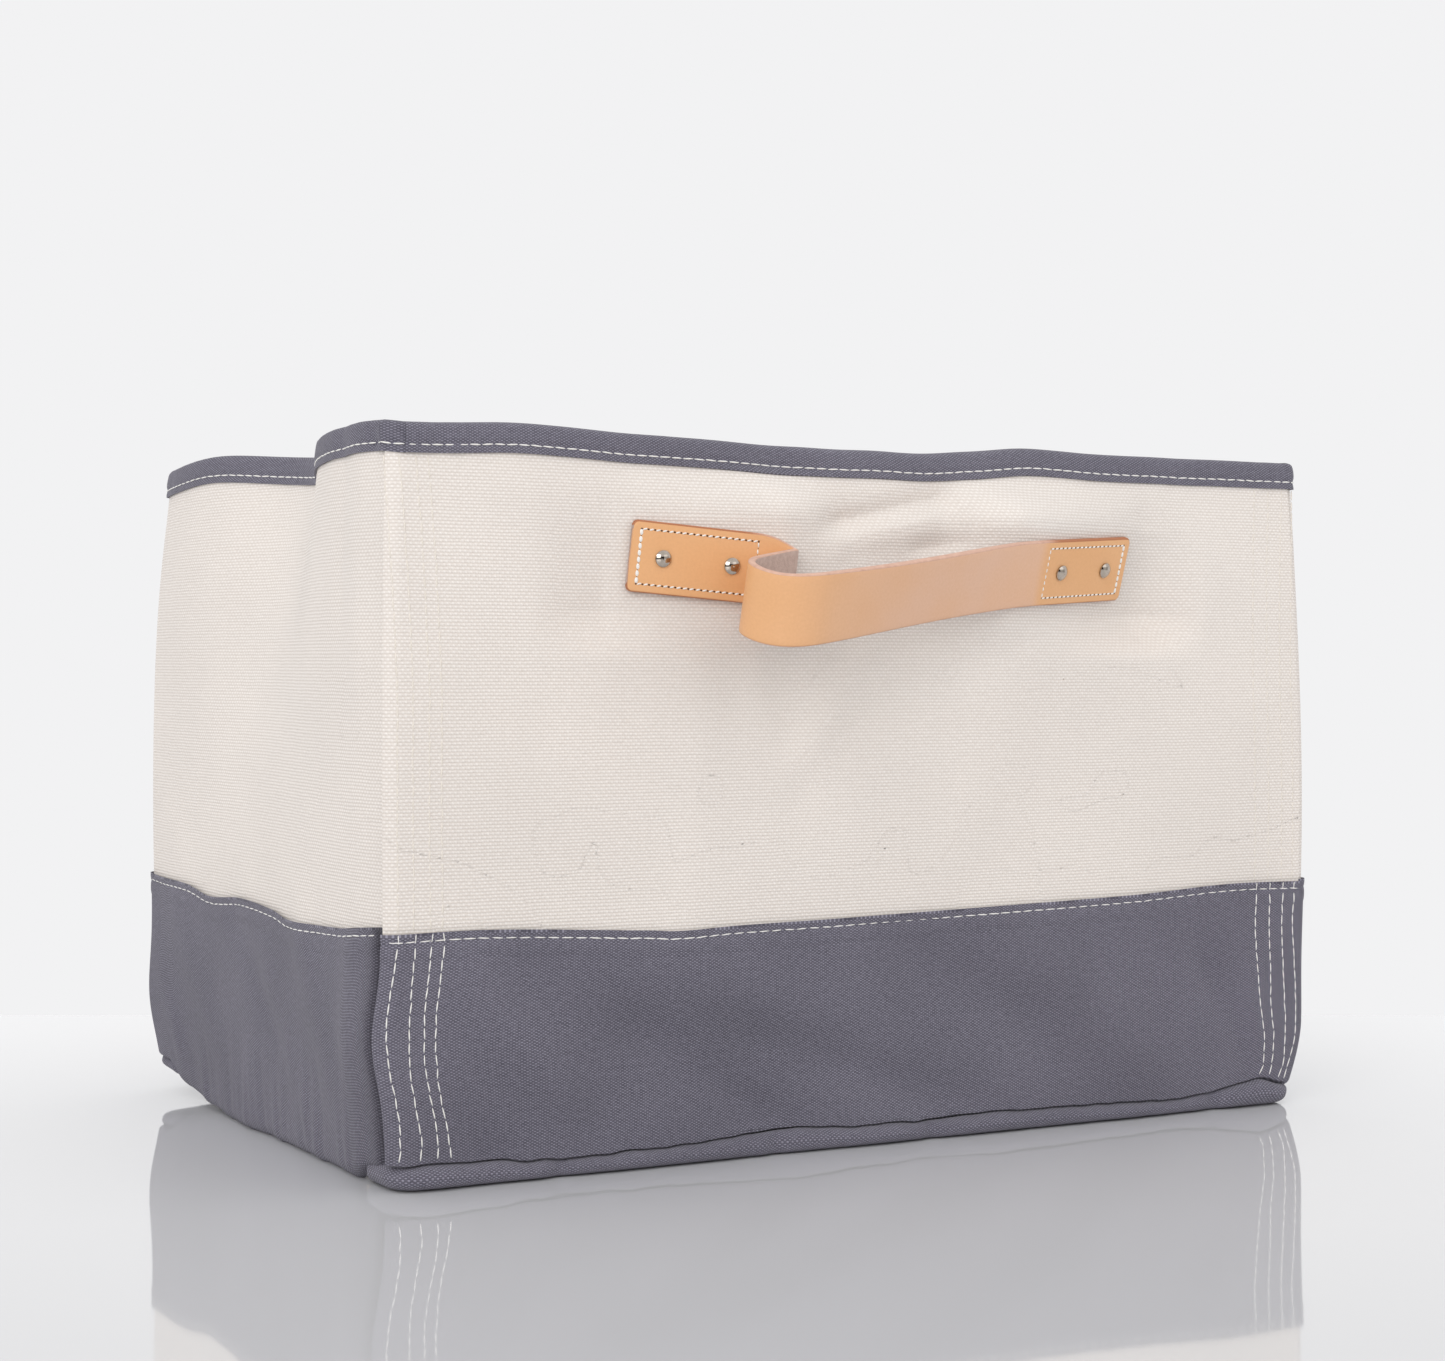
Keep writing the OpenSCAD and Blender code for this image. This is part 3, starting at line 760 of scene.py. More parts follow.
def front_band(u, v):
    top = curve(FRONT_BAND_TOPS, panel_x(u, BAND_H)[0])
    low = roll_top(panel_x(u, 0)[0]) - 1.5
    z = mix(low, top, v)
    x, inset = panel_x(u, z)
    tucked = 5 * smooth((low + 2.7 - z) / 1.5) + round_edge(inset, 1.6)
    return front_at(x, z, LAP + PLY_GAP + BAND_T + hem(z, top) - tucked)[0], (x, z)


def paint_fold_shade(bm):
    """Marks how much painted shade darkens the cloth in the fold beside the front band, for its
    finish.
    """
    layer = bm.verts.layers.float.new("fold")
    for vert in bm.verts:
        near = -vert.co.y / MM - run_d(vert.co.z / MM)
        vert[layer] = humps(near, FOLD_SHADE_HUMPS)


def side_band(u, v):
    """The band turns under the bin in a round fold, which gives way to the base's roll near
    the corners. Small puckers stand above the fold."""
    full = run_d(BAND_H) + ARC_L
    s = mix(-full, full, u)
    top = curve(SIDE_BAND_TOPS, -held(s, run_d(BAND_H)))
    roll = smooth((abs(s) - 104) / 20)
    low, radius = mix(0.4, 8, roll), mix(UNDER_R, 2.5, roll)
    round_l = radius * pi / 2
    up = v * (top - low - radius + round_l)
    if up < round_l:
        z = low + radius * (1 - cos(up / radius))
        under = radius * (1 - sin(up / radius))
    else:
        z = up - round_l + low + radius
        under = 0
    pucker = 1.5 * soft_noise(s / 7, z / 60, 71) + 1.3 * soft_noise(s / 17, z / 40, 72)
    s *= (run_d(z) + ARC_L) / full
    off = PLY_GAP + BAND_T + hem(z, top) - under - corner_sink(s, z)
    off += pucker * clip((46 - z) / 46) * fade(s, run_d(z))
    return side_at(s, z, off)[0], (s, up)


# --- base ---

SOLE_Z = 0.3


def rounded_ring(t, half_x, half_y, radius):
    """A place and outward direction at a fraction t of the way round a rounded rectangle."""
    across, deep = 2 * (half_x - radius), 2 * (half_y - radius)
    arc = radius * pi / 2
    half = across + arc + deep + arc
    turn, way = divmod(t * 2 * half, half)
    sign = 1 if turn % 2 == 0 else -1
    past = way - across - arc
    angle = pi / 2 * (clip((way - across) / arc) + clip((past - deep) / arc))
    ray = Vector((sin(angle), -cos(angle), 0))
    corner = Vector((min(way, across) - across / 2, deep * clip(past / deep) - deep / 2, 0))
    return (corner + ray * radius) * sign, ray * sign


BASE_X = 212
SIDE_TUCK = 9
BASE_Y = half_d(8) + LAP + BAND_T + 2.2
BASE_R = 11


ROLL_D, HIDDEN_D, HIDDEN_H, ROLL_SHOWS = 8.5, 6, 5.5, 116
ROLL_PINCHES = ((-146, 5, -2.8), (20, 4, -2.4), (168, 5, -2.8), (-52, 4, -2.2), (190, 12, 1.2))


def base_roll():
    """The puffy rolled edge that joins the sole to the walls. Along the sides it lies in
    behind the band."""

    def place(u, v):
        spot, ray = rounded_ring(u, BASE_X, BASE_Y, BASE_R)
        x = spot.x if spot.y < 0 else -spot.x
        hidden = smooth((ROLL_SHOWS - abs(spot.y)) / 12)
        tall = mix(roll_top(x) - 0.7, HIDDEN_H, hidden)
        puff = 0.8 + 1.1 * soft_noise(x / 26, 0, 31) + 0.7 * soft_noise(x / 9, 0, 32)
        puff += humps(x, ROLL_PINCHES)
        deep = mix(ROLL_D, HIDDEN_D, hidden)
        angle = 2 * pi * v
        c, s = cos(angle), sin(angle)
        out = -deep / 2 + (deep / 2 + puff * (c > 0)) * copysign(abs(c) ** 0.8, c)
        out += 0.3 * soft_noise(x / 4, angle, 33)
        up = tall / 2 + tall / 2 * copysign(abs(s) ** 0.85, s)
        point = spot + ray * (out - hidden * SIDE_TUCK)
        point.z = SOLE_Z + up
        return point, (u * 1380, v * 26)

    bm = woven(560, 24, place)
    close_ring(bm)
    bmesh.ops.recalc_face_normals(bm, faces=bm.faces[:])
    roll = finish_piece(bm, "base_roll", SLATE, sharp=80)
    return roll


def plate(name, half_x, half_y, radius, z, thickness, finish, waves):
    """A level flat piece with rounded corners, wavy by so many millimetres."""

    def place(u, v):
        x, y = mix(-half_x, half_x, u), mix(-half_y, half_y, v)
        past = Vector((max(0, abs(x) - half_x + radius), max(0, abs(y) - half_y + radius)))
        if past.length > 1e-6:
            pull = 1 - max(past) / past.length
            x -= copysign(past.x * pull, x)
            y -= copysign(past.y * pull, y)
        return Vector((x, y, z + waves * soft_noise(x / 50, y / 50, 41))), (x, y)

    return finish_piece(woven(120, 80, place, thickness), name, finish)


def base():
    """Rolled edge, sole, stiffening board and lining."""
    roll = base_roll()
    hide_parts("base_panel")
    inside_x, inside_y = BASE_X - SIDE_TUCK, BASE_Y - 3
    sole = plate("base_sole", inside_x - 1, inside_y - 2, 16, SOLE_Z + 1.2, 1.2, SLATE, 0)
    low, high = (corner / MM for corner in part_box("base_board"))
    board = plate("base_stiffener", inside_x - 6, high.y, 12, high.z, high.z - low.z, BOARD, 0)
    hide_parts("base_board")
    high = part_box("base_lining")[1] / MM
    lining = plate("base_lining_cloth", inside_x - 4, high.y, 12, high.z + 0.5, 0.9, NATURAL, 0.4)
    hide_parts("base_lining")


# --- rim binding ---

BINDING_OUT = PLY_GAP + BINDING_T
BOUND = CANVAS_T + BINDING_OUT


def binding_section(w, thick):
    """A place on the folded strip: how far up from its lower edge and how far out of the
    outer face, for w from its outer lower edge over the fold to its inner one."""
    radius = thick / 2
    straight = BINDING_H - radius
    fold = pi * radius
    way = w * (2 * straight + fold)
    angle = pi * clip((way - straight) / fold)
    up = min(way, straight, 2 * straight + fold - way)
    return up + sin(angle) * radius, radius * (cos(angle) - 1)


def rim_binding():
    def place(u, v):
        step = u * 2 * HALF_RING
        half_step = step % HALF_RING
        thick = BOUND + BINDING_OUT + (LAP if half_step < FRONT_STEPS else 0)
        up, out = binding_section(v, thick)
        puff = 0.35 * sin(pi * clip(up / BINDING_H))
        puff -= 0.5 * bell((up - TOPSTITCH_IN) / 1.2)
        bend = min(abs(half_step - corner) for corner in (0, FRONT_STEPS, HALF_RING))
        wrinkle = 0.14 + 0.5 * bell((bend - 4) / 9)
        puff += wrinkle * (soft_noise(step / 1.7, up / 14, 51) + soft_noise(step / 4.3, up / 9, 52))
        if out < -thick / 2:
            puff = -puff
        off = BINDING_OUT + out + puff
        return rim_at(step, BINDING_H - up, LAP + off, off)[0], (u * 1395, v * 27)

    bm = woven(2 * HALF_RING, 26, place)
    close_ring(bm)
    bmesh.ops.solidify(bm, geom=bm.faces[:], thickness=BINDING_T * MM)
    cloth = finish_piece(bm, "rim_binding_cloth", SLATE, sharp=60)
    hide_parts("rim_binding")


def steps(low, high, pitch):
    count = max(1, ceil(abs(high - low) / pitch))
    return [mix(low, high, n / count) for n in range(count + 1)]


def path_length(points):
    """How far along the path each point lies."""
    gone = [0.0]
    for a, b in zip(points, points[1:]):
        gone.append(gone[-1] + (b - a).length)
    return gone


# --- stitching ---

WANDER = random.Random(7)
STITCH_SUNK, STITCH_SHARE = 0.1, 0.95
RIM_PITCH, BAND_PITCH, ROW_PITCH, SADDLE_PITCH = 5, 5.7, 4.9, 2.65


def along(places, pitch):
    """Walks a line of places in equal steps: the middle of each step, the way it runs, and
    the face's outward direction."""
    gone = path_length([p[0] for p in places])
    count = max(1, round(gone[-1] / pitch))
    step = gone[-1] / count
    k = 0
    for n in range(count):
        middle = (n + 0.5) * step
        while k < len(gone) - 2 and gone[k + 1] < middle:
            k += 1
        t = (middle - gone[k]) / max(1e-9, gone[k + 1] - gone[k])
        (a, ray_a), (b, ray_b) = places[k], places[k + 1]
        yield a.lerp(b, t), (b - a).normalized(), ray_a.lerp(ray_b, t).normalized()


def one_stitch():
    """The shape of every stitch: a plump little thread, one millimetre each way."""
    bm = bmesh.new()
    on_its_side = Matrix.Rotation(pi / 2, 4, "Y")
    bmesh.ops.create_uvsphere(bm, u_segments=6, v_segments=5, radius=0.5 * MM, matrix=on_its_side)
    return as_mesh(bm, "one_stitch")


STITCH = one_stitch()


def add_stitch(bm, middle, way, ray, length, width, height, turn=0.0):
    """Lays one stitch on a face, with its ends in the cloth."""
    up = (ray - way * ray.dot(way)).normalized()
    axes = Matrix((way, up.cross(way), up)).transposed().to_4x4()
    size = Matrix.Diagonal((length, width, height, 1))
    made = STITCH.copy()
    made.transform(Matrix.Translation(middle * MM) @ axes @ Matrix.Rotation(turn, 4, "Z") @ size)
    bm.from_mesh(made)
    bpy.data.meshes.remove(made)


def sew(bm, places, pitch, width=0.65, height=0.7):
    for middle, way, ray in along(places, pitch):
        length = pitch * STITCH_SHARE * WANDER.uniform(0.93, 1.04)
        add_stitch(bm, middle, way, ray, length, width, height, WANDER.uniform(-0.07, 0.07))


def rim_stitching():
    """One line round the outside of the binding, then one round its inside."""
    bm = bmesh.new()
    outer = BINDING_OUT - STITCH_SUNK
    inner = -CANVAS_T - BINDING_OUT + STITCH_SUNK
    for sign, front_off, side_off in ((1, outer + LAP, outer), (-1, inner, inner)):
        drop = BINDING_H - TOPSTITCH_IN
        ring = [rim_at(step, drop, front_off, side_off) for step in range(2 * HALF_RING + 1)]
        sew(bm, [(spot, ray * sign) for spot, ray in ring], RIM_PITCH)
    line = finish_piece(bm, "rim_stitching", WHITE_THREAD, sharp=180)
    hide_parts("rim_thread")


def band_stitching():
    """One line along the top of each of the four bands."""
    bm = bmesh.new()
    off = PLY_GAP + BAND_T - 0.05
    fronts, sides = [], []
    for n in range(301):
        x = mix(3.5 - run_w(BAND_H) - WRAP_LEFT, run_w(BAND_H) + WRAP_RIGHT - 2, n / 300)
        fronts.append(front_at(x, curve(FRONT_BAND_TOPS, x) - TOPSTITCH_IN, off + LAP))
        s = mix(-run_d(BAND_H) - 5, run_d(BAND_H) + 1, n / 300)
        z = curve(SIDE_BAND_TOPS, -s) - TOPSTITCH_IN
        sides.append(side_at(s, z, off - corner_sink(s, z)))
    for places in (fronts, sides):
        sew(bm, places, BAND_PITCH)
        sew(bm, [half_turned(spot) for spot in places], BAND_PITCH)
    line = finish_piece(bm, "band_stitching", WHITE_THREAD, sharp=180)
    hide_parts("band_thread")


# How far across the front the upright rows stand at each height on the band
ROW_HEIGHTS = (12, 18, 30, 45, 60, 76, 92)
ROWS = [
    (-209.6, -209.7, -210.9, -214.3, -215.8, -213.8, -211.6),
    (-201.9, -201.8, -204.1, -206.7, -207.3, -206.6, -205.5),
    (-195.2, -195.4, -197.5, -200.6, -201.6, -200.5, -199.1),
    (-190.1, -190.9, -193.4, -196.3, -197.1, -195.8, -194.3),
    (204.4, 206.4, 209.2, 208.9, 207.7, 206.1, 206.2),
    (201.0, 203.3, 203.8, 202.7, 201.3, 200.0, 200.0),
    (195.6, 197.1, 197.3, 195.1, 194.2, 193.0, 192.6),
    (190.0, 192.4, 192.2, 189.2, 187.1, 185.2, 185.0),
]


def row_at(row, z, off, seed):
    """A place on an upright row; above the band the row follows the corner."""
    x = curve(list(zip(ROW_HEIGHTS, row)), z)
    if z > ROW_HEIGHTS[-1]:
        x += copysign(run_w(z) - run_w(ROW_HEIGHTS[-1]), x)
    x -= foot_shift(x, -run_d(z), z) * (z <= ROW_HEIGHTS[-1])
    return front_at(x + 0.3 * soft_noise(z / 7, 0, seed), z, off)


def upright_stitching():
    white, cream = bmesh.new(), bmesh.new()
    band_off = LAP + PLY_GAP + BAND_T
    for n, row in enumerate(ROWS):
        low, top = roll_top(row[0]) + 1.5, curve(FRONT_BAND_TOPS, row[-1])
        places = [row_at(row, z, band_off + hem(z, top), n) for z in steps(low, top, 1.5)]
        sew(white, places, ROW_PITCH, 0.6)
        rim = front_rim(row[-1]) - BINDING_H - 0.4
        places = [row_at(row, z, LAP - 0.05, n) for z in steps(top + 0.4, rim, 3)]
        sew(cream, places, ROW_PITCH, 0.75, 0.6)
    made = (white, "band_rows", WHITE_THREAD), (cream, "canvas_rows", CREAM_THREAD)
    for bm, name, finish in made:
        back = bm.copy()
        turned(back)
        mesh = as_mesh(back, name)
        bm.from_mesh(mesh)
        bpy.data.meshes.remove(mesh)
        rows = finish_piece(bm, name, finish, sharp=180)
        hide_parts("corner_thread")


# --- leather handle ---

BEND_RUN = 7.5
TIGHT_R, WIDE_R = 4.5, 17
TIGHT_TURN = radians(131)
NECK_RISE = radians(3)
WIDE_BACK, LOOP_REACH = 15.5, 27.5
DROOP, WIDE_LEAN, MID_LEAN = radians(17), radians(15.5), radians(7.5)
FOLD_DIP, WIDE_DIP, RUN_DIP = 4.6, 4.0, 1.9
PLATE_OUT = SEWN_L / 2 + LEATHER_IN
PLATE_IN = SEWN_L / 2 + 1.5
HALF_T = STRAP_T / 2


def end_frame(x, yaw, lean, roll):
    return (
        Matrix.Translation((x, -(END_FACE + PLY_GAP), END_Z))
        @ Matrix.Rotation(-yaw, 4, "Z")
        @ Matrix.Rotation(lean, 4, "X")
        @ Matrix.Rotation(roll, 4, "Y")
    )


LEFT_END = end_frame(LEFT_X, LEFT_YAW, LEFT_LEAN, LEFT_ROLL)
RIGHT_END = end_frame(RIGHT_X, -RIGHT_YAW, RIGHT_LEAN, RIGHT_ROLL)
hinge = Vector(frame["joints"][0]["pos_m"]) / MM


def in_end(matrix, x, out):
    """A station of the strap in a sewn end's frame: its middle and the way of its width."""
    return matrix @ Vector((x, -out, 0)), matrix.to_3x3() @ Vector((0, 0, 1))


def on_end(matrix, places):
    """Stations of the strap where it lies on the wall."""
    return [in_end(matrix, x, HALF_T) for x in places]


def in_loop(x, out, lean):
    """A station of the loop, which droops from the level of its hinge."""
    point = Vector((x, hinge.y - cos(DROOP) * out, hinge.z - sin(DROOP) * out))
    return point, Vector((0, -sin(lean), cos(lean)))


def strap_stations():
    """Stations from the left sewn end, round both bends, to the right sewn end."""
    stations = on_end(LEFT_END, END_ROUND_LEFT + steps(3 - PLATE_OUT, PLATE_IN, 1.2))
    knots = []

    def knot(dip):
        knots.append((len(stations) - 1, dip))

    knot(0)
    stations += on_end(LEFT_END, steps(PLATE_IN, PLATE_IN + BEND_RUN, 1)[1:])
    for a in steps(0, TIGHT_TURN, 0.13)[1:]:
        x = PLATE_IN + BEND_RUN + TIGHT_R * sin(a)
        stations.append(in_end(LEFT_END, x, HALF_T + TIGHT_R * (1 - cos(a))))
        if len(knots) == 1 and a > TIGHT_TURN / 2:
            knot(FOLD_DIP)
    neck = stations[-1][0]
    lead = Vector((neck.x - WIDE_BACK, LOOP_REACH))
    gap = lead - Vector((neck.x, 0))
    inward = atan2(gap.y, gap.x) + asin(WIDE_R / gap.length)
    gap_out = Vector((RIGHT_NECK.x, 0)) - lead
    outward = atan2(gap_out.y, gap_out.x) - asin(WIDE_R / gap_out.length)

    def bend(a):
        return lead.x - WIDE_R * sin(a), lead.y + WIDE_R * cos(a)

    x0, y0 = bend(inward)
    for t in steps(0, 1, 0.1)[1:-1]:
        lean = mix(LEFT_LEAN, WIDE_LEAN, t)
        stations.append(in_loop(mix(neck.x, x0, t), mix(0, y0, t), lean))
    for a in steps(inward, outward, 0.07):
        stations.append(in_loop(*bend(a), WIDE_LEAN))
        if len(knots) == 2 and a < (inward + outward) / 2:
            knot(WIDE_DIP)
    knot(RUN_DIP)
    x1, y1 = bend(outward)
    for t in steps(0, 1, 0.025)[1:-1]:
        lean = mix(WIDE_LEAN, RIGHT_LEAN, t) + MID_LEAN * sin(pi * t)
        stations.append(in_loop(mix(x1, RIGHT_NECK.x, t), mix(y1, 0, t), lean))
    knots.append((len(stations), 0))
    for x in steps(-PLATE_IN - NECK_L, -PLATE_IN, 2)[:-1]:
        out = HALF_T - (x + PLATE_IN) * sin(NECK_RISE)
        stations.append(in_end(RIGHT_END, x, out))
    stations += on_end(RIGHT_END, steps(-PLATE_IN, PLATE_OUT - 3, 1.2) + END_ROUND_RIGHT)
    return sagged(stations, knots)


def sagged(stations, knots):
    """Lets the loop sag by the depth that each knot gives, and rise to the right neck."""
    gone = path_length([s[0] for s in stations])
    start, end = gone[knots[1][0]], gone[knots[-1][0]]
    made = []
    for n, (point, width) in enumerate(stations):
        drop = 0
        for (a, deep_a), (b, deep_b) in zip(knots, knots[1:]):
            if a <= n < b:
                drop = mix(deep_a, deep_b, smooth((gone[n] - gone[a]) / (gone[b] - gone[a])))
        climb = 0
        if knots[1][0] <= n < knots[-1][0]:
            climb = (RIGHT_NECK.z - hinge.z) * (gone[n] - start) / (end - start)
        made.append((point + Vector((0, 0, climb - drop)), width))
    return made


ROUND = 2
ROUND_STEPS = (0, 0.08, 0.35, 0.8, 1.4, 2.0)
END_ROUND_LEFT = [-PLATE_OUT + s for s in ROUND_STEPS]
END_ROUND_RIGHT = [PLATE_OUT - s for s in reversed(ROUND_STEPS)]
neck_tilt = cos(RIGHT_LEAN) * cos(RIGHT_YAW)
neck_out = -hinge.y - END_FACE - PLY_GAP - PLATE_IN * sin(RIGHT_YAW) - HALF_T * neck_tilt
NECK_L = neck_out / (sin(RIGHT_YAW) + sin(NECK_RISE) * neck_tilt)
RIGHT_NECK = RIGHT_END @ Vector((-PLATE_IN - NECK_L, -HALF_T - NECK_L * sin(NECK_RISE), 0))
# Stations near each sewn end that stay where they are
KEPT = 44
PATH_PASSES, WIDTH_PASSES = 8, 14


def evened(values, weight):
    """Draws each vector toward its neighbours, apart from those near the sewn ends."""
    last = len(values) - KEPT
    return [
        (values[k - 1] + v * weight + values[k + 1]) / (weight + 2) if KEPT < k < last else v
        for k, v in enumerate(values)
    ]


def eased(stations):
    """Evens out the strap's path and how its width turns, and finds the way it runs."""
    points, widths = zip(*stations)
    for n in range(WIDTH_PASSES):
        widths = [w.normalized() for w in evened(widths, 1)]
        if n < PATH_PASSES:
            points = evened(points, 2)
    made = []
    for k, (point, width) in enumerate(zip(points, widths)):
        run = (points[min(k + 1, len(points) - 1)] - points[max(k - 1, 0)]).normalized()
        made.append((point, run, (width - run * width.dot(run)).normalized()))
    return made


FACE_STEPS = 12
EDGE_R = 0.7


def strap_section():
    """Outline of the strap: how far across and out of its middle each place lies, and how far
    round, over the grain face, an edge, the flesh face and the other edge."""
    half, soft = STRAP_W / 2, EDGE_R
    points = []
    for sign, start in ((1, 0), (-1, STRAP_W + STRAP_T)):
        for n in range(FACE_STEPS + 1):
            across = mix(half - soft, soft - half, n / FACE_STEPS)
            points.append((sign * across, sign * HALF_T, start + half - across))
        for degrees in (30, 60, 90, -90, -60, -30):
            a = radians(abs(degrees))
            across = soft - half - soft * sin(a)
            out = copysign(HALF_T - soft + soft * cos(a), degrees)
            points.append((sign * across, sign * out, start + STRAP_W + HALF_T - out))
    across, out, _ = points[0]
    return points + [(across, out, 2 * (STRAP_W + STRAP_T))]


# How deep and wide the rivets and the lines of stitches press into the leather
RIVET_PRESS, RIVET_R = 0.3, 4.4
GROOVE_DEEP, GROOVE_HALF = 0.22, 0.8

STRAP = eased(strap_stations())
STRAP_GONE = path_length([s[0] for s in STRAP])
STRAP_L = STRAP_GONE[-1]


def leather_finish():
    """Vegetable-tanned strap: smooth grain face with a pink painted sheen along the loop, pale
    suede back, and cut edges that are burnished dark at the sewn ends."""
    finish, start = new_finish("tan leather")
    place, solid = start.cloth_place(), start.solid_place()
    along, around, _ = (part * (1 / MM) for part in start.split(place))
    # around runs over the grain face, then an edge, the flesh face and the other edge
    half = STRAP_W / 2
    face = (around - half).math("ABSOLUTE")
    grain = face.math("LESS_THAN", half)
    back = (around - STRAP_W * 1.5 - STRAP_T).math("ABSOLUTE").math("LESS_THAN", half)
    sewn = PLATE_OUT + PLATE_IN
    # Painted sheen: the grain face turns pinker along the loop, rising from the left bend and
    # ending at the right sewn end
    sheen_rise = start.ramp(along, sewn + 50, sewn + 170)
    loop = sheen_rise * start.ramp(along, STRAP_L - sewn + 2, STRAP_L - sewn - 6)
    from_middle = (along - STRAP_L / 2).math("ABSOLUTE")
    ends = start.ramp(from_middle, STRAP_L / 2 - sewn - 4, STRAP_L / 2 - sewn + 8)
    cloudy = start.noise(place, 34, 4)
    fine = start.noise(place, 900, 3)
    top = start.blend(cloudy, *TAN)
    # The painted sheen is laid over the tan grain face along the loop
    top = start.blend(loop * (cloudy * 0.8 + 0.35), top, PAINTED_SHEEN_TAN)
    top = start.blend(fine * 0.3, top, DEEP_TAN)
    top = start.blend(start.ramp(face, half - 1.1, half) * 0.4, top, BURNISHED)
    suede = start.blend(start.noise(solid, 500, 3), *SUEDE)
    cut = start.blend(start.noise(solid, 420), *CUT_EDGE)
    cut = start.blend(ends, cut, BURNISHED)
    colour = start.blend(grain, cut, top)
    pores = start.cells(place, 1500.0)[0]
    height = (fine * 0.5 + pores * 0.4) * (back * 5 + 1)
    return dress(
        finish,
        Base_Color=start.blend(back, colour, suede),
        Roughness=grain * -0.04 + back * 0.4 + (fine - 0.5) * 0.1 + 0.44,
        Specular_IOR_Level=0.4,
        Normal=start.bumps(height, 0.05, 0.8),
    )


TAN = srgb(226, 170, 117), srgb(236, 185, 136)
DEEP_TAN = srgb(190, 134, 90)
# The pink tan is the colour of the painted sheen along the loop
PAINTED_SHEEN_TAN, BURNISHED = srgb(227, 188, 164), srgb(174, 110, 72)
SUEDE = srgb(172, 146, 134), srgb(214, 192, 182)
CUT_EDGE = srgb(192, 146, 124), srgb(224, 186, 166)
LEATHER = leather_finish()


def handle(side, turn):
    section = strap_section()
    count, ring = len(STRAP) - 1, len(section) - 1

    def place(u, v):
        k = round(u * count)
        point, run, width = STRAP[k]
        across, out, way_round = section[round(v * ring)]
        from_end = min(STRAP_GONE[k], STRAP_L - STRAP_GONE[k])
        narrow = ROUND - sqrt(max(0.0, ROUND**2 - max(0.0, ROUND - from_end) ** 2))
        across *= 1 - narrow / (STRAP_W / 2)
        if out > 0:
            for rivet in (PLATE_OUT - RIVET_GAP / 2, PLATE_OUT + RIVET_GAP / 2):
                out -= RIVET_PRESS * bell(hypot(from_end - rivet, across) / RIVET_R)
            if abs(from_end - PLATE_OUT) < SEWN_L / 2 + 0.5:
                from_row = abs(abs(across) - STRAP_W / 2 + LEATHER_IN)
                out -= GROOVE_DEEP * bell(from_row / GROOVE_HALF)
        return point + width * across + run.cross(width) * out, (STRAP_GONE[k], way_round)

    bm = woven(count, ring, place)
    close_ring(bm)
    bmesh.ops.holes_fill(bm, edges=[e for e in bm.edges if e.is_boundary], sides=0)
    bmesh.ops.recalc_face_normals(bm, faces=bm.faces[:])
    if turn:
        turned(bm)
    strap = finish_piece(bm, f"{side}_handle_strap", LEATHER, body=None, sharp=50)
    sign = -1 if turn else 1
    sign * -0.150
    sign * -0.168
    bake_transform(strap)
    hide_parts(f"{side}_handle_left_end", f"{side}_handle_right_end", f"{side}_handle_loop")


def handle_stitching(side, turn):
    """White saddle stitches round each sewn end, with a dark patch of painted shade for the hole
    between every two.
    """
    thread, hole_shades = bmesh.new(), bmesh.new()
    half_l, half_h = SEWN_L / 2, STRAP_W / 2 - LEATHER_IN
    corners = [(half_l * a, half_h * b) for a, b in ((-1, -1), (1, -1), (1, 1), (-1, 1), (-1, -1))]
    for matrix, slant, outer in ((LEFT_END, 0.34, 3), (RIGHT_END, 0.2, 1)):
        ray = (matrix.to_3x3() @ OUT_FRONT).normalized()
        spots = [(matrix @ Vector((x, 0.12 - STRAP_T, z)), ray) for x, z in corners]
        for n in range(4):
            lie = 0.1 if n % 2 else slant
            wide, length = (1.7, 2.5) if n == outer else (0.75, 1.9)
            for middle, way, up in along(spots[n : n + 2], SADDLE_PITCH):
                add_stitch(thread, middle, way, up, length, wide, 0.8, lie)
                # Painted shade: a flat dark patch stands in for the shade in each stitch hole
                add_stitch(hole_shades, middle + way * SADDLE_PITCH / 2, way, up, 0.95, 0.75, 0.3)
    if turn:
        turned(thread)
        turned(hole_shades)
    line = finish_piece(thread, f"{side}_handle_stitching", WHITE_THREAD, sharp=180)
    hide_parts(f"{side}_handle_thread")
    finish_piece(hole_shades, f"{side}_handle_hole_shades", HOLE_SHADE, sharp=180)


# --- putting it together ---

# The cloths of the walls: both pieces, how one is laid, its grid, cloth and flat size
WALL_CLOTHS = (
    ("front_panel", "back_panel", front_panel, 270, 150, CANVAS_T, NATURAL, (0.433, 0.27)),
    ("left_panel", "right_panel", side_panel, 230, 130, CANVAS_T, NATURAL, (0.345, 0.26)),
    ("front_band", "back_band", front_band, 270, 90, BAND_T, SLATE, (0.44, 0.088)),
    ("left_band", "right_band", side_band, 240, 90, BAND_T, SLATE, (0.29, 0.1)),
)
for *names, place, columns, rows, thickness, finish, flat in WALL_CLOTHS:
    for turn, name in enumerate(names):
        bm = woven(columns, rows, place, thickness)
        # The side bands carry painted shade in the fold beside the front band
        if place == side_band:
            paint_fold_shade(bm)
        if turn:
            turned(bm)
        cloth = finish_piece(bm, name + "_cloth", finish)
        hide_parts(name)
        under = [name.replace("band", "panel")]
        rests_on = under if finish == SLATE else ["rim_binding", "base_panel"]
base()
rim_binding()
rim_stitching()
band_stitching()
upright_stitching()
for side, turn in (("front", False), ("back", True)):
    handle(side, turn)
    handle_stitching(side, turn)
    for node in (f"{side}_handle_rivets", f"{side}_handle_rivet_backs"):
        for slot in frame["nodes"][node].material_slots:
            slot.material = NICKEL


# --- floor, backdrop and light ---


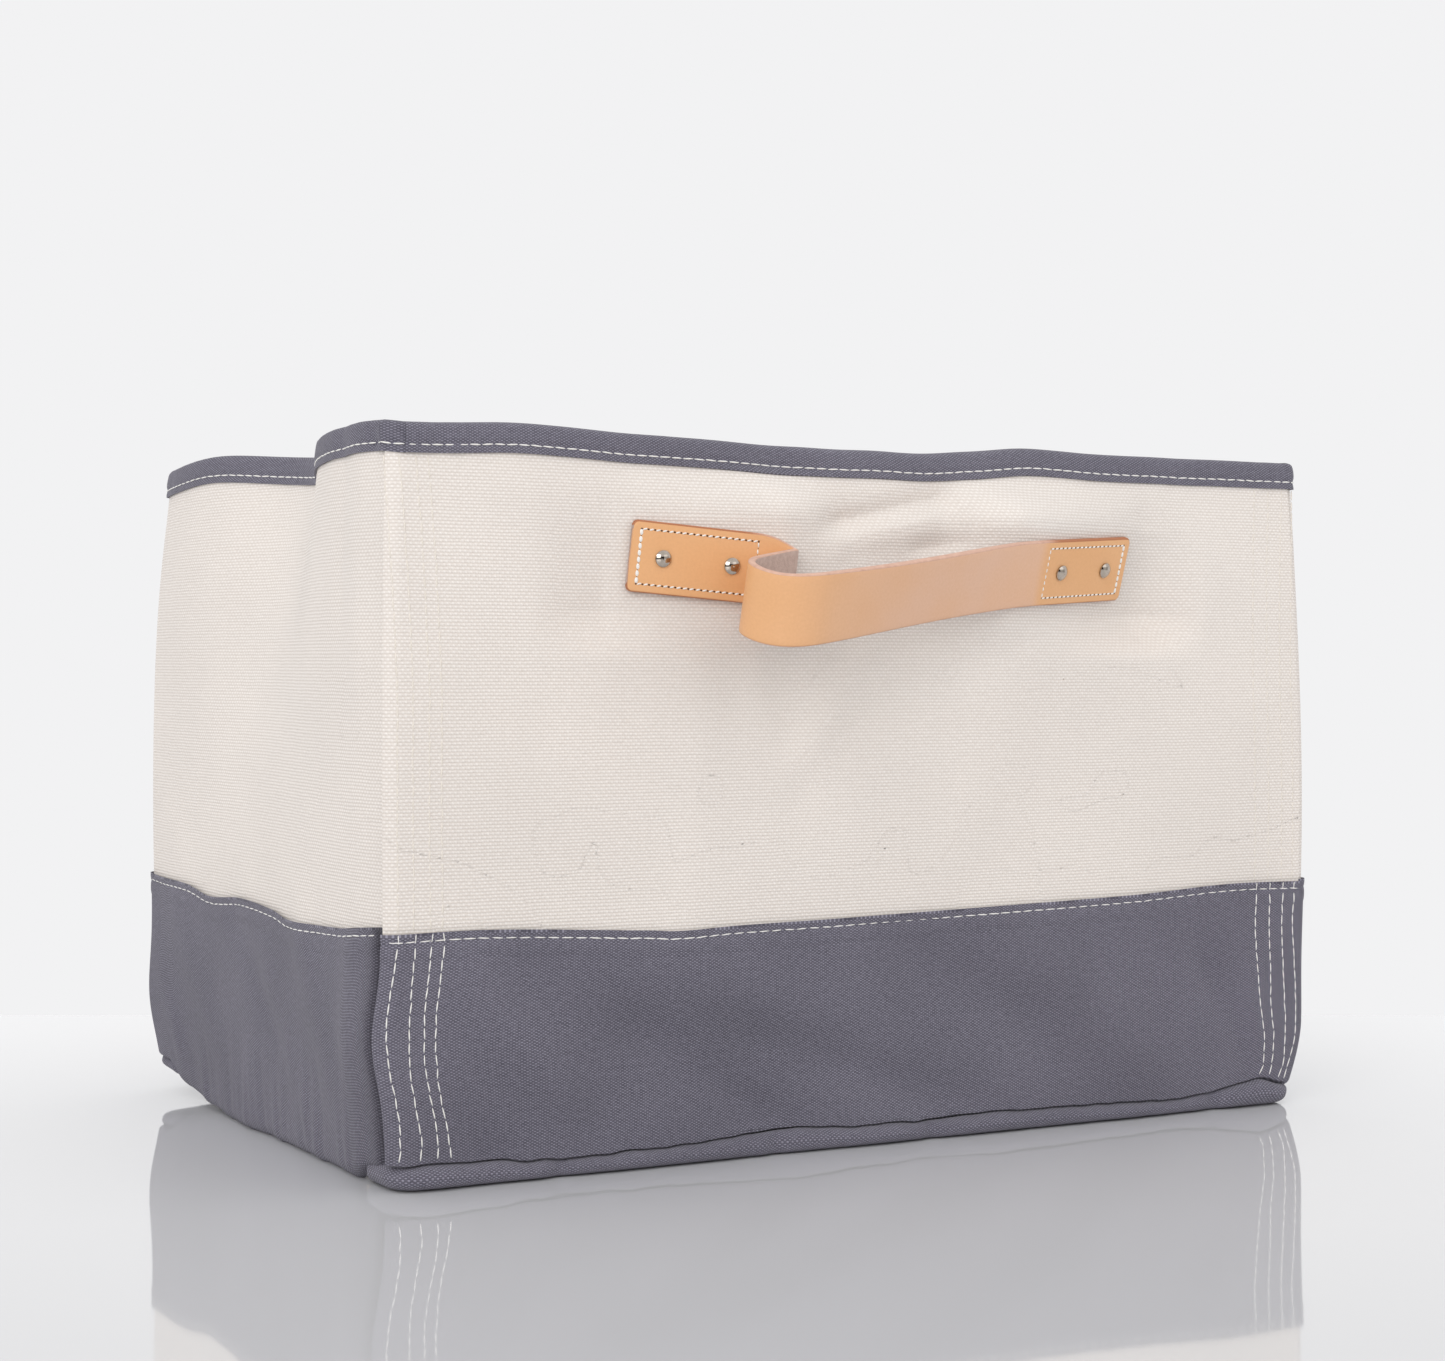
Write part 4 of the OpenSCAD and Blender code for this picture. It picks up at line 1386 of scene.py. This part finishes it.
def floor():
    """A sheet whose far edge lies across the view, a little behind the bin."""
    bm = bmesh.new()
    ahead = Vector((sin(HEADING), cos(HEADING), 0))
    middle = Vector((EYE.x, EYE.y, 0)) + ahead * (FLOOR_FAR_EDGE - FLOOR_HALF)
    square = Matrix.Translation(middle) @ Matrix.Rotation(-HEADING, 4, "Z")
    bmesh.ops.create_grid(bm, x_segments=1, y_segments=1, size=FLOOR_HALF, matrix=square)
    mesh = as_mesh(bm, "floor")
    mesh.materials.append(floor_finish())
    ground = in_scene("floor", mesh)
    ground.location.z = -0.0002


def sky():
    """White to the camera, dim low behind it to reflections, and a plain soft light on
    everything."""
    world = bpy.data.worlds.new("studio")
    scene.world = world
    world.use_nodes = True
    tree = world.node_tree
    tree.nodes.clear()
    start = Val(tree, None)
    path = start.node("ShaderNodeLightPath")
    glossy = Val(tree, path.outputs["Is Glossy Ray"])
    seen = glossy.math("MAXIMUM", path.outputs["Is Camera Ray"])
    seen = seen.math("MAXIMUM", path.outputs["Is Transmission Ray"])
    light = start.node("ShaderNodeBackground", None, Color=(1, 1, 1, 1), Strength=SKY_LIGHT)
    x, y, height = start.split(start.node("ShaderNodeTexCoord").outputs["Generated"])
    ahead = x * sin(HEADING) + y * cos(HEADING)
    dim = glossy * start.ramp(ahead, 0.1, -0.5) * start.ramp(height, 0.34, 0.2)
    paper = start.blend(dim, PAPER, ROOM)
    shown = start.node("ShaderNodeBackground", None, Color=paper, Strength=1.0)
    both = start.node(
        "ShaderNodeMixShader", None, _0=seen, _1=light.outputs[0], _2=shown.outputs[0]
    )
    start.node("ShaderNodeOutputWorld", None, _0=both.outputs[0])


def lamp(name, place, size, power):
    data = bpy.data.lights.new(name, "AREA")
    data.size = size
    data.energy = power
    made = in_scene(name, data)
    made.location = place
    made.rotation_euler = (LAMPS_AIM - Vector(place)).to_track_quat("-Z", "Y").to_euler()


bpy.data.meshes.remove(STITCH)

FLOOR_HALF, FLOOR_FAR_EDGE = 3, 1.465
SKY_LIGHT = 1.0
LAMPS_AIM = Vector((0, 0, 0.15))
PAPER, ROOM = srgb(242, 242, 243), srgb(46, 40, 36)
floor()
sky()
lamp("key", (-1.9, -1.6, 1.1), 1.5, 21)
lamp("fill", (0.9, -2.4, 0.9), 1.8, 6)
